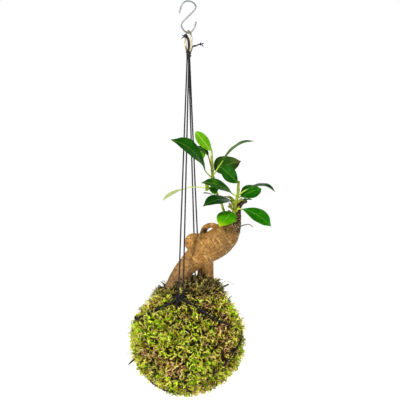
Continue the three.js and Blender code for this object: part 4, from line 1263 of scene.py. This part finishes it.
# a row for each leaf, in the order of their numbers, ending in what is out of the ordinary
leafFields = ("stalk", "base", "tip", "width", "face", "arch", "finish")
leaves = [
    ([(30.2, 0, -218.6), (26.8, -3.4, -215.6)], (21.5, -12, -209.5), (-19.6, -42, -171.4), 25,
     (0.42, -0.7, 0.6), 9, "dark", {"curl": 2, "fullest": 0.6}),
    ([(29.4, 0, -192)], (28.5, -2.5, -184.5), (9.8, -8, -160.8), 14, (-0.25, -0.95, 0.2), 2, "lime",
     {"fold": 0.12, "fullest": 0.56, "blunt": 0.8}),
    ([(29.4, 1, -207)], (25.5, 4, -191.3), (10.6, 8, -178.4), 13, (0.3, -0.45, 0.85), 2, "ruddy", {}),
    ([(29.8, 1, -192), (28.6, 6.5, -182), (24.2, 12, -177)], (19.4, 14.5, -179), (11.2, 18, -197), 14,
     (-0.2, -0.95, -0.1), 1.5, "lime", {}),
    ([(30.6, -1, -216.2), (35.5, -5, -208.5)], (42.6, -10, -197.6), (79.8, -18, -170.8), 18,
     (-0.5, -0.06, 0.85), 4.9, "dark", {"curl": 3.2, "fold": 0.3}),
    ([(30.6, 1, -217), (30.2, 4, -211.4)], (32.8, 6.6, -207.8), (66.2, 18, -197), 27, (0.1, -0.85, 0.5),
     2, "dusky", {"fullest": 0.36, "fold": 0.12}),
    ([(62.4, -6, -227.5)], (61.2, -9.5, -224.6), (38.6, -21, -203.8), 19.5, (-0.15, -0.85, 0.5), 1.5,
     "dark", {}),
    ([(61.2, -6.5, -241.8)], (54, -11, -237.2), (16.8, -26, -223.4), 18, (0.1, -0.68, 0.73), 4.4,
     "olive", {"curl": 2}),
    ([(34.8, 3, -232.6)], (36.6, -3, -227.9), (33.2, -14.5, -239.2), 14, (-0.3, -0.4, 0.85), 2, "mid",
     {"fold": 0.5}),
    ([(22, -3.5, -230.6), (13, -3, -229.8), (3.5, -2, -229.6)], (-6.8, -2, -232.5), (-31.3, -5, -246.5),
     10, (-0.3, -0.4, 0.85), 2, "pale", {"stalkRadius": 0.7}),
    ([(34.2, 2.6, -234)], (28.4, -7, -238.2), (18.5, -10, -237.2), 5, (0, -0.2, 1), 0.6, "deep",
     {"stalkRadius": 0.6}),
    ([(59.4, -8, -249.2)], (55.2, -12, -247.8), (18.3, -36, -253.6), 22, (-0.1, -0.6, 0.8), 6.4, "deep",
     {"fold": 0.12}),
    ([(57.6, -9.6, -260)], (55.2, -14.2, -261), (38.5, -28, -278.4), 25.5, (-0.35, -0.85, 0.4), 1.5,
     "bright", {"fullest": 0.44, "fold": 0.12}),
    ([(57.8, -9.6, -258.4), (62, -12, -256.4)], (66.4, -12, -256.6), (102.2, -20, -278.2), 20,
     (0.25, -0.85, 0.45), 6, "mid", {"fullest": 0.58}),
    ([(62, -6, -240.6), (66.5, -9, -236.5)], (73, -11, -232.2), (107.2, -23, -232.6), 18, (0, -0.17, 1),
     4.8, "deep", {"curl": 3.4, "fold": 0.24}),
    ([(61.6, -6, -243.4)], (65.4, 1.5, -241.4), (92, 16, -231.6), 21, (0.1, -0.8, 0.6), 2, "mid",
     {"fullest": 0.44}),
    ([(60.2, -7.6, -246.5)], (68.2, -8, -245.8), (79.5, -8.5, -245.2), 6, (0, -0.3, 1), 0.6, "deep",
     {"stalkRadius": 0.6}),
]
stalk = {"radius": 0.85, "ribRadius": 0.5, "sides": 10, "stepsPerStop": 12, "ribDrop": 0.12,
         "joinDrop": 0.25, "ribShares": (0.08, 0.2, 0.35, 0.5, 0.65, 0.8, 0.93)}


# colour and relief of a fig leaf from its own lengthways and sideways measures
def figBladeGroup():
    group, pad, given, out = newGroup("figBlade", {
        "Top": (0.02, 0.1, 0.01), "Light": (0.05, 0.2, 0.02), "Rib": (0.3, 0.4, 0.1),
        "Under": (0.2, 0.3, 0.1), "Tip": (0.1, 0.2, 0.02), "Stalk": (0.4, 0.5, 0.1), "Where": None,
    }, ("Color", "Height", "Gloss"))
    marks = pad.split(pad.attribute("blade", "Vector"))
    along, away, share = marks["X"], marks["Y"], marks["Z"]
    # side veins leave the midrib at a slant and curve towards the tip
    bend = pad.math("POWER", away, 1.25)
    slant = pad.math("SUBTRACT", along, pad.times(bend, 0.55))
    wave = pad.math("FRACT", pad.math("DIVIDE", slant, 3.1))
    vein = pad.ramp(pad.math("ABSOLUTE", pad.math("SUBTRACT", wave, 0.5)), 0.44, 0.5)
    rib = pad.ramp(away, 0.65, 0.2)
    where = given["Where"]
    patch = pad.ramp(pad.noise(where, 130.0, 3.0), 0.35, 0.68)
    colour = pad.mix(patch, given["Top"], given["Light"])
    colour = pad.mix(pad.times(vein, 0.2), colour, given["Light"])
    tipMask = pad.ramp(share, 0.62, 1.0)
    colour = pad.mix(tipMask, colour, given["Tip"])
    colour = pad.mix(pad.times(rib, 0.6), colour, given["Rib"])
    below = pad.mix(pad.times(vein, 0.4), given["Under"], given["Rib"])
    below = pad.mix(pad.times(tipMask, 0.75), below, given["Tip"])
    under = pad.ramp(pad.attribute("under"), 0.7, 0.95)
    colour = pad.mix(under, colour, below)
    colour = pad.mix(pad.attribute("stalk"), colour, given["Stalk"])
    fine = pad.noise(where, 900.0, 3.0)
    height = pad.plus(pad.times(vein, -0.5), pad.times(fine, 0.35))
    pad.fill(out, {"Color": colour, "Height": height, "Gloss": pad.ramp(fine, 0.3, 0.7, 0.0, 0.1)})
    return group


figBlade = figBladeGroup()


def leafMaterial(name):
    material, pad = newMaterial("leaf" + name.title())
    _, rough, *tones = leafFinishes[name]
    values = {**dict(zip(finishTones, tones)), "Where": pad.where()}
    made = pad.node("ShaderNodeGroup", values, node_tree=figBlade).outputs
    matt = pad.times(pad.attribute("under"), 0.2)
    pad.coat({
        "Base Color": made["Color"],
        "Roughness": pad.plus(pad.plus(made["Gloss"], matt), rough),
        "Specular IOR Level": 0.05,
        "Specular Tint": (0.75, 0.9, 0.5),
        "Normal": pad.bump(made["Height"], 0.16, 0.0003),
    })
    return material


# stalk of a leaf, running on under the blade as its midrib
def stalkPart(leaf, centre, upward, u):
    ribStops = []
    for share in stalk["ribShares"]:
        i = int(np.argmin(np.abs(u - share)))
        ribStops.append(centre[i] - upward[i] * (blade["thickness"] / 2 + stalk["ribDrop"]))
    stops = [*leaf["stalk"], tuple(np.array(leaf["base"]) - upward[0] * stalk["joinDrop"]), *ribStops]
    lead = len(leaf["stalk"])
    thick = leaf.get("stalkRadius", stalk["radius"])
    radii = [thick * 1.15] + [thick] * (lead - 1) + [thick * 0.85]
    radii += [stalk["ribRadius"] * leaf["width"] / 20 * (1 - 0.85 * share) + 0.08
              for share in stalk["ribShares"]]
    steps = stalk["stepsPerStop"] * len(stops)
    part = loft([(*p, r) for p, r in zip(stops, radii)], stalk["sides"], steps)
    gone = np.linspace(0, len(stops) - 1, steps + 1)
    stalkShare = np.clip((lead + 0.6 - gone) / 1.2, 0, 1)
    part["tags"] = {
        "blade": np.tile([10.0, 0.0, 0.4], (len(part["verts"]), 1)),
        "under": np.ones(len(part["verts"])),
        "stalk": np.concatenate([np.repeat(stalkShare, stalk["sides"]), [1.0, 0.0]]),
    }
    return part


def makeLeaves():
    materials = {name: leafMaterial(name) for name in leafFinishes}
    for number, row in enumerate(leaves, 1):
        leaf = dict(zip(leafFields, row), **row[-1])
        part, *along = bladePart(leaf, blade["rows"], bladeColumns, blade["thickness"])
        slot = leafFinishes[leaf["finish"]][0]
        addPiece(f"leaf{number:02}", merged([part, stalkPart(leaf, *along)]), materials[leaf["finish"]],
                 slot, f"leaf_{number:02}")


makeLeaves()
print("shoots and leaves made")


# moss: a near-black bed, partly the moss's own dark base and partly painted shade for the gaps, with
# thousands of sprigs growing out of it

bed = {
    "sink": 3.0, "levels": 6, "footLift": 0.6, "lumps": ((9.0, 0.0, 1.5), (3.5, 2.2, 0.5)),
    # distances between which the moss goes from bare to full; the bare strips by the cords and knots are
    # partly a real pressed groove and partly painted shadow, where the near-black bed shows
    "bareBySling": (3.2, 10.4), "bareByCradle": (1.6, 7.5), "bareByKnot": (4.5, 11.5), "bareInLeg": 0.62,
    # dip and thin growth in the gap between the legs
    "gapWay": (0.1, -0.03, 0.99), "gapWidth": 0.12, "gapDepth": 5.5,
    "gapAt": (5.0, -2.0, -348.0), "gapShape": (1, 0.5, 0.6), "gapLeast": 0.12,
    "greenNoise": ((7.0, 5.5, 0.5),), "brownNoise": ((8.0, 9.5, 0.5),), "topStart": 0.72, "topFade": 0.2,
}
# direction and spread of greener and browner patches
greenPatches = [
    ((-0.48, -0.85, 0.3), 0.28), ((-0.09, -0.99, 0.15), 0.2), ((0.2, -0.87, -0.38), 0.2),
    ((0.14, -0.65, -0.66), 0.15), ((0.43, -0.88, 0.28), 0.12), ((0.14, -0.78, 0.69), 0.11),
    ((0.82, -0.3, 0.5), 0.2), ((-0.41, -0.53, 0.82), 0.14), ((-0.85, -0.5, 0.08), 0.18),
    ((0.5, 0.75, 0.2), 0.35), ((-0.3, 0.85, -0.3), 0.35), ((0.95, 0.2, -0.3), 0.25),
    ((-0.9, 0.3, -0.2), 0.25),
]
brownPatches = [
    ((0.66, -0.73, 0.25), 0.24), ((0.69, -0.69, -0.14), 0.15), ((-0.457, -0.78, -0.35), 0.18),
    ((-0.17, -0.86, -0.4), 0.2), ((0.27, -0.33, -0.9), 0.16), ((-0.117, -0.97, 0.303), 0.1),
    ((-0.69, -0.646, -0.245), 0.15), ((0.32, -0.62, 0.72), 0.22), ((0.25, -0.3, 0.92), 0.36),
    ((-0.6, -0.45, 0.73), 0.16), ((-0.7, 0.6, 0.3), 0.25), ((0.2, 0.8, 0.55), 0.3),
    ((0.6, 0.5, -0.6), 0.25),
]


def patchStrength(ways, patches):
    found = np.zeros(len(ways))
    for toward, width in patches:
        found = np.maximum(found, patchAt(ways, toward, width))
    return found


# 0 close to a line, 1 away from it
def shortBy(points, line, limits):
    return np.clip((nearest(points, line)[1] - limits[0]) / (limits[1] - limits[0]), 0, 1)


def bedPart():
    part = sphere((0, 0, 0), 1.0, bed["levels"])
    ways = part["verts"] / np.linalg.norm(part["verts"], axis=1)[:, None]
    onSkin = ways * ball["radius"]
    pressed = patchAt(ways, bed["gapWay"], bed["gapWidth"])
    reach = mossRadius(ways) - bed["sink"] + layeredNoise(onSkin, bed["lumps"]) - pressed * bed["gapDepth"]
    points = ways * reach[:, None]
    points[:, 2] = np.maximum(points[:, 2], -ball["footDepth"] + bed["footLift"])
    points = points + ballCentre
    # sprigs thin out by the cords and knots, baring the near-black bed as painted shadow beside them
    held = [line[:round(len(line) * slingShown[name])] for name, line in slingLines.items()]
    bySling = shortBy(points, np.vstack(held), bed["bareBySling"])
    byCradle = shortBy(points, cradleLine[openShare > 0.6], bed["bareByCradle"])
    byKnot = shortBy(points, onBall([knotFrontWay, knotRearWay], 0), bed["bareByKnot"])
    inLeg = np.zeros(len(points))
    for key in ("body", "rightLeg", "sideRoot"):
        stations = np.array(trunkLimbs[key], float)
        line = splineThrough(stations[:, :3], 60)
        girth = splineThrough(stations[:, 3:4], 60, even=True)[:, 0].max() * bed["bareInLeg"]
        inLeg = np.maximum(inLeg, (nearest(points, line)[1] < girth).astype(float))
    clear = bySling * byCradle * byKnot * (1 - inLeg)
    fromGap = np.linalg.norm((points - bed["gapAt"]) * bed["gapShape"], axis=1)
    clear = clear * np.clip((fromGap - 3) / 6, bed["gapLeast"], 1)
    green = patchStrength(ways, greenPatches) + layeredNoise(onSkin, bed["greenNoise"])
    brown = np.clip(patchStrength(ways, brownPatches) + layeredNoise(onSkin, bed["brownNoise"]), 0, 1)
    green = np.clip(0.2 + 0.8 * np.clip(green, 0, 1) - 0.45 * brown, 0, 1)
    top = np.clip((ways[:, 2] - bed["topStart"]) / bed["topFade"], 0, 1)
    part["verts"] = points
    part["tags"] = {"clear": clear, "green": green, "brown": np.maximum(brown, top * 0.85), "top": top,
                    "plain": clear * (1 - 0.7 * brown)}
    return part


# root, low, high and tip of a sprig; the near-black root is partly the older base and partly painted shade
# deep in the moss, the pale tip partly young growth and partly painted highlight
mossTones = {
    "bright": ((0.012, 0.026, 0.001), (0.07, 0.17, 0.003), (0.53, 0.76, 0.012), (0.88, 0.97, 0.10)),
    "yellow": ((0.03, 0.026, 0.003), (0.24, 0.22, 0.008), (0.74, 0.67, 0.06), (0.94, 0.86, 0.30)),
    "olive": ((0.008, 0.009, 0.001), (0.05, 0.06, 0.003), (0.46, 0.44, 0.02), (0.74, 0.70, 0.10)),
    "straw": ((0.03, 0.014, 0.003), (0.36, 0.20, 0.035), (0.97, 0.71, 0.25), (1.00, 0.92, 0.50)),
    "brown": ((0.006, 0.003, 0.001), (0.016, 0.007, 0.002), (0.40, 0.19, 0.05), (0.84, 0.58, 0.26)),
    "dark": ((0.003, 0.002, 0.001), (0.008, 0.008, 0.003), (0.08, 0.07, 0.016), (0.50, 0.38, 0.13)),
}
# the bed's near-black tones are partly the moss's dark base and partly painted shade deep in the gaps
# between sprigs
bedTones = {"low": (0.002, 0.002, 0.001), "high": (0.022, 0.018, 0.004), "litter": (0.05, 0.020, 0.007),
            "shine": 0.1}
soilTones = {"low": (0.012, 0.007, 0.004), "high": (0.06, 0.035, 0.018), "shine": 0.5}


# colour of a sprig from its own tone and from how near its tip a point is
def sprigToneGroup():
    group, pad, given, out = newGroup("sprigTone", {
        "Root": (0.05, 0.05, 0.01), "Low": (0.1, 0.2, 0.02), "High": (0.3, 0.5, 0.05),
        "Tip": (0.5, 0.7, 0.1), "Where": None,
    }, ("Color", "Fine"))
    tone = pad.attribute("tone")
    tip = pad.attribute("tip")
    drift = pad.noise(given["Where"], 90.0, 2.0)
    swing = pad.times(pad.math("SUBTRACT", drift, 0.5), 0.5)
    mixed = pad.math("ADD", pad.ramp(tone, 0.2, 0.58), swing, True)
    colour = pad.mix(mixed, given["Low"], given["High"])
    # darker towards the root: partly the older base, partly painted shade deep in the moss
    colour = pad.mix(pad.ramp(tip, 0.55, 0.1), colour, given["Root"])
    # pale tips on the brighter sprigs: partly young growth, partly painted highlight
    bright = pad.times(pad.ramp(tip, 0.5, 0.9), pad.ramp(tone, 0.3, 0.8))
    colour = pad.mix(pad.times(bright, 0.8), colour, given["Tip"])
    pad.fill(out, {"Color": colour, "Fine": pad.noise(given["Where"], 1600.0, 2.0)})
    return group


sprigTone = sprigToneGroup()


def mossMaterial(name):
    material, pad = newMaterial("moss" + name.title())
    tones = dict(zip(("Root", "Low", "High", "Tip"), mossTones[name]))
    made = pad.node("ShaderNodeGroup", {**tones, "Where": pad.where()}, node_tree=sprigTone).outputs
    pad.coat({
        "Base Color": made["Color"], "Roughness": pad.ramp(made["Fine"], 0.3, 0.7, 0.38, 0.6),
        "Specular IOR Level": 0.08, "Normal": pad.bump(made["Fine"], 0.3, 0.0002),
    })
    return material


# a rough dark ground, for the bed of the moss and for the soil; the bed's near-black tones are partly
# painted shade deep between the sprigs
def earthMaterial(name, tones, sizes, relief):
    material, pad = newMaterial(name)
    where = pad.where()
    tone = pad.mottled(where, *sizes, tones["low"], tones["high"])
    colour = tone["Color"]
    if "litter" in tones:
        speck = pad.ramp(pad.noise(where, 420.0, 3.0, 0.6), 0.52, 0.62)
        colour = pad.mix(speck, colour, tones["litter"])
    pad.coat({
        "Base Color": colour, "Roughness": pad.ramp(tone["Mask"], 0.0, 1.0, 0.95, 0.8),
        "Specular IOR Level": tones["shine"],
        "Normal": pad.bump(pad.noise(where, 500.0, 5.0, 0.7), *relief),
    })
    return material


def ribbonTube(line, radii, tags):
    part = tube(line, radii, 3)
    rows = len(line)
    part["tags"] = {"tip": np.concatenate([np.repeat(np.linspace(*tags, rows), 3), tags])}
    return part


# a sprig grows up from the origin: a bent stem with small pointed leaflets
def sprigPart(shape, rng):
    rows = shape["rows"]
    lean = rng.uniform(-0.3, 0.3)
    curl = shape["curl"] * rng.uniform(0.4, 1.3) * rng.choice((-1, 1))
    wag = rng.uniform(-0.6, 0.6)
    line = [np.zeros(3)]
    step = shape["length"] * rng.uniform(0.8, 1.15) / (rows - 1)
    for i in range(1, rows):
        t = i / (rows - 1)
        angle = lean + curl * t ** 1.4
        sideways = wag * math.sin(t * 3)
        line.append(line[-1] + step * unit((math.sin(angle), sideways * 0.5, math.cos(angle))))
    line = np.array(line)
    radii = np.linspace(shape["stem"], shape["stem"] * 0.35, rows)
    parts = [ribbonTube(line, radii, (0.0, 1.0))]
    tangents, normals, acrosses = framesAlong(line)
    for k in range(shape["leaflets"]):
        t = (k + 1.0) / (shape["leaflets"] + 0.4)
        place = t * (rows - 1)
        i = min(int(place), rows - 2)
        at = line[i] + (line[i + 1] - line[i]) * (place - i)
        if shape["flat"]:
            spin = (0 if k % 2 else math.pi) + rng.uniform(-0.5, 0.5)
        else:
            spin = k * 2.4 + rng.uniform(-0.3, 0.3)
        outward = math.cos(spin) * normals[i] + math.sin(spin) * acrosses[i]
        opening = shape["opening"] * rng.uniform(0.7, 1.25)
        toward = unit(tangents[i] * math.cos(opening) + outward * math.sin(opening))
        wide = np.cross(toward, np.cross(tangents[i], toward))
        wide = unit(wide + 0.3 * np.cross(tangents[i], outward))
        wide = unit(np.cross(toward, wide)) if rng.random() < 0.8 else wide
        size = (1 - 0.45 * abs(2 * t - 0.9)) * rng.uniform(0.8, 1.15)
        reach = shape["leafLength"] * size
        half = shape["leafWidth"] * size / 2
        sag = np.cross(wide, toward) * reach * 0.12 * rng.choice((-1, 1))
        waist = at + toward * reach * 0.45
        verts = np.array([at, waist + wide * half + sag, at + toward * reach, waist - wide * half + sag])
        near = 0.3 + 0.6 * t + rng.uniform(-0.22, 0.22)
        nearTip = np.clip([near * 0.6, near * 0.85, near + 0.3, near * 0.85], 0, 1)
        parts.append({"verts": verts, "faces": [(0, 1, 2, 3)], "uv": np.zeros((4, 2)),
                      "tags": {"tip": nearTip}})
    return merged(parts)


shapeFields = (
    "length", "rows", "curl", "stem", "leaflets", "flat", "opening", "leafLength", "leafWidth")
sprigShapes = {
    "shoot": (11.0, 6, 2.2, 0.6, 7, True, 0.55, 3.4, 1.6),
    "tuft": (6.0, 4, 0.8, 0.36, 9, False, 0.6, 4.2, 1.2),
    "curl": (14.0, 9, 4.6, 0.52, 2, True, 0.5, 1.8, 0.9),
    "needle": (8.0, 4, 0.7, 0.5, 5, False, 0.4, 4.2, 1.1),
    "litter": (8.0, 4, 1.1, 0.55, 3, False, 0.4, 3.2, 1.6),
}
sprigsPerShape = 7


def sprigCollection(kind, seed):
    rng = random.Random(seed)
    held = bpy.data.collections.new(kind + "Sprigs")
    shape = dict(zip(shapeFields, sprigShapes[kind]))
    for i in range(sprigsPerShape):
        mesh = meshFrom(f"{kind}Sprig{i}", sprigPart(shape, rng))
        held.objects.link(bpy.data.objects.new(f"{kind}Sprig{i}", mesh))
    return held


sprigInputs = ("Seed", "Density", "Least Tilt", "Most Tilt", "Least Size", "Most Size")


# scatters sprigs over the bed, thicker where the layer's measure is high
def scatterTree(layer, held, material):
    tree = bpy.data.node_groups.new(layer["name"], "GeometryNodeTree")
    pad = Pad(tree)
    face = tree.interface
    face.new_socket(name="Geometry", in_out="INPUT", socket_type="NodeSocketGeometry")
    for label in sprigInputs:
        kind = "NodeSocketInt" if label == "Seed" else "NodeSocketFloat"
        face.new_socket(name=label, in_out="INPUT", socket_type=kind)
    face.new_socket(name="Geometry", in_out="OUTPUT", socket_type="NodeSocketGeometry")
    given = tree.nodes.new("NodeGroupInput").outputs
    out = tree.nodes.new("NodeGroupOutput")

    def named(label):
        made = pad.node("GeometryNodeInputNamedAttribute", {"Name": label}, data_type="FLOAT")
        return made.outputs["Attribute"]

    def chance(low, high, seed):
        made = pad.node("FunctionNodeRandomValue", {"Seed": seed, 2: low, 3: high}, data_type="FLOAT")
        return made.outputs[1]

    def turn(axis, angle):
        return pad.node("ShaderNodeCombineXYZ", {axis: angle}).outputs[0]

    least, most, floor = layer["wanted"]
    favoured = pad.node("ShaderNodeMapRange", {
        "Value": named(layer["measure"]), "From Min": least, "From Max": most, "To Min": floor,
        "To Max": 1.0,
    }).outputs["Result"]
    clear = named("clear")
    density = pad.times(pad.times(favoured, pad.ramp(clear, 0.0, 0.25)), given["Density"])
    density = pad.times(density, pad.ramp(named("top"), 0.0, 0.8, 1.0, layer["atTop"]))
    points = pad.node("GeometryNodeDistributePointsOnFaces", {
        "Mesh": given["Geometry"], "Density": density, "Seed": given["Seed"],
    }, distribute_method="RANDOM")
    spin = turn("Z", chance(0.0, 2 * math.pi, 11))
    tip = turn("X", chance(given["Least Tilt"], given["Most Tilt"], 12))
    roll = turn("Z", chance(0.0, 2 * math.pi, 13))
    turned = points.outputs["Rotation"]
    for angle in (spin, tip, roll):
        asTurn = pad.node("FunctionNodeEulerToRotation", {0: angle}).outputs[0]
        turned = pad.node("FunctionNodeRotateRotation", {"Rotation": turned, "Rotate By": asTurn},
                          rotation_space="LOCAL").outputs[0]
    size = chance(given["Least Size"], given["Most Size"], 14)
    shrunk = pad.times(size, pad.ramp(clear, 0.0, 1.0, 0.35, 1.0))
    shapes = pad.node("GeometryNodeCollectionInfo", {
        "Collection": held, "Separate Children": True, "Reset Children": True})
    pick = pad.node("FunctionNodeRandomValue", {"Seed": 15}, data_type="INT")
    pad.fill(pick.inputs, {4: 0, 5: sprigsPerShape - 1})
    grown = pad.node("GeometryNodeInstanceOnPoints", {
        "Points": points.outputs["Points"], "Instance": shapes, "Pick Instance": True,
        "Instance Index": pick.outputs[2], "Rotation": turned, "Scale": shrunk})
    toned = pad.node("GeometryNodeStoreNamedAttribute", {
        "Geometry": grown, "Name": "tone", "Value": chance(0.0, 1.0, 16),
    }, data_type="FLOAT", domain="INSTANCE")
    real = pad.node("GeometryNodeRealizeInstances", {"Geometry": toned})
    coated = pad.node("GeometryNodeSetMaterial", {"Geometry": real, "Material": material})
    tree.links.new(coated.outputs[0], out.inputs[0])
    return tree


# measure names what a layer follows; wanted is where on it the layer starts and where it is full,
# and its least share of sprigs
layerFields = ("name", "shape", "tone", "measure", "wanted", "density", "atTop", "seed", "tilt", "size")
mossLayers = [
    ("mossLimeShoots", "shoot", "bright", "green", (0.0, 0.8, 0.0), 90000.0, 0.2, 3, (0.95, 1.52),
     (0.6, 1.15)),
    ("mossLimeTufts", "tuft", "bright", "green", (0.15, 0.9, 0.0), 48000.0, 0.2, 5, (0.2, 1.0),
     (0.7, 1.25)),
    ("mossYellowShoots", "shoot", "yellow", "brown", (0.9, 0.1, 0.12), 33000.0, 0.3, 7, (0.95, 1.52),
     (0.6, 1.15)),
    ("mossOliveShoots", "shoot", "olive", "plain", (0.0, 1.0, 0.1), 28000.0, 0.8, 9, (0.7, 1.45),
     (0.65, 1.1)),
    ("mossStrawCurls", "curl", "straw", "brown", (0.1, 0.8, 0.4), 92000.0, 0.9, 13, (1.0, 1.55),
     (0.45, 0.95)),
    ("mossBrownLitter", "litter", "brown", "brown", (0.2, 0.8, 0.12), 112000.0, 1.0, 17, (0.6, 1.4),
     (0.7, 1.25)),
    ("mossTopNeedles", "needle", "dark", "top", (0.1, 0.8, 0.0), 205000.0, 1.0, 19, (0.15, 1.2),
     (0.7, 1.45)),
    ("mossStrays", "shoot", "yellow", "clear", (0.5, 1.0, 0.0), 6000.0, 0.3, 23, (0.5, 1.1),
     (0.85, 1.25)),
]


def grownOver(plain, layer, held, material):
    tree = scatterTree(layer, held, material)
    growing = plain.copy()
    scene.collection.objects.link(growing)
    modifier = growing.modifiers.new("sprigs", "NODES")
    modifier.node_group = tree
    values = (layer["seed"], layer["density"], *layer["tilt"], *layer["size"])
    sockets = {item.name: item.identifier for item in tree.interface.items_tree if item.in_out == "INPUT"}
    for label, value in zip(sprigInputs, values):
        modifier[sockets[label]] = value
    mesh = applied(growing)
    bpy.data.node_groups.remove(tree)
    mesh.name = layer["name"]
    return mesh


# dead twigs and a fine root that stand out of the moss: stops with radii
twigs = [
    [(27, -6, -357, 0.9), (33, -8, -348.5, 1.1), (39.4, -9, -342.6, 0.9)],
    [(31, -12, -362, 0.9), (39, -14, -355.3, 1.1), (50.2, -15, -349.3, 1.0)],
    [(36, 0, -356, 0.35), (40.5, -3, -350, 0.25), (47.6, -5, -345.8, 0.22), (57.8, -4, -350.8, 0.2)],
    [(24, -10, -358, 0.7), (25.5, -12, -348, 0.8), (23.5, -12, -341, 0.5)],
    [(14, -14, -357, 0.6), (15.5, -16, -349, 0.7), (19, -17, -343, 0.4)],
    [(-60, -14, -438, 1.2), (-67.5, -16, -443, 1.3), (-73.5, -15, -448.5, 0.8)],
    [(-24, 8, -358, 0.6), (-30, 9, -351, 0.6), (-34, 10, -347, 0.4)],
    [(44, 24, -374, 0.7), (50, 28, -370, 0.7), (55, 30, -366, 0.4)],
]


def makeTwigs(material):
    parts = [loft(stops, 7, 14, tone=0.35, tip=0.55) for stops in twigs]
    addPiece("mossTwigs", merged(parts), material, "moss")


def makeMoss():
    bedMesh = meshFrom("mossBed", bedPart())
    material = earthMaterial("mossBed", bedTones, (260.0, 900.0), (1.0, 0.004))
    addPiece("mossBed", bedMesh, material, "moss", "moss_cover")
    shapes = {kind: sprigCollection(kind, 20 + i) for i, kind in enumerate(sprigShapes)}
    plain = bpy.data.objects.new("plainBed", bedMesh)
    materials = {tone: mossMaterial(tone) for tone in mossTones}
    for row in mossLayers:
        layer = dict(zip(layerFields, row))
        material = materials[layer["tone"]]
        mesh = grownOver(plain, layer, shapes[layer["shape"]], material)
        mesh.calc_loop_triangles()
        print(layer["name"], len(mesh.loop_triangles), "triangles")
        addPiece(layer["name"], mesh, material, "moss")
    makeTwigs(materials["dark"])
    for held in shapes.values():
        for item in list(held.objects):
            bpy.data.objects.remove(item)
        bpy.data.collections.remove(held)
    bpy.data.objects.remove(plain)


makeMoss()


def dressSoil():
    soil = frame["nodes"]["soil_core"]
    soil.data.materials.clear()
    soil.data.materials.append(earthMaterial("darkSoil", soilTones, (120.0, 900.0), (0.8, 0.001)))


dressSoil()
print("moss made")
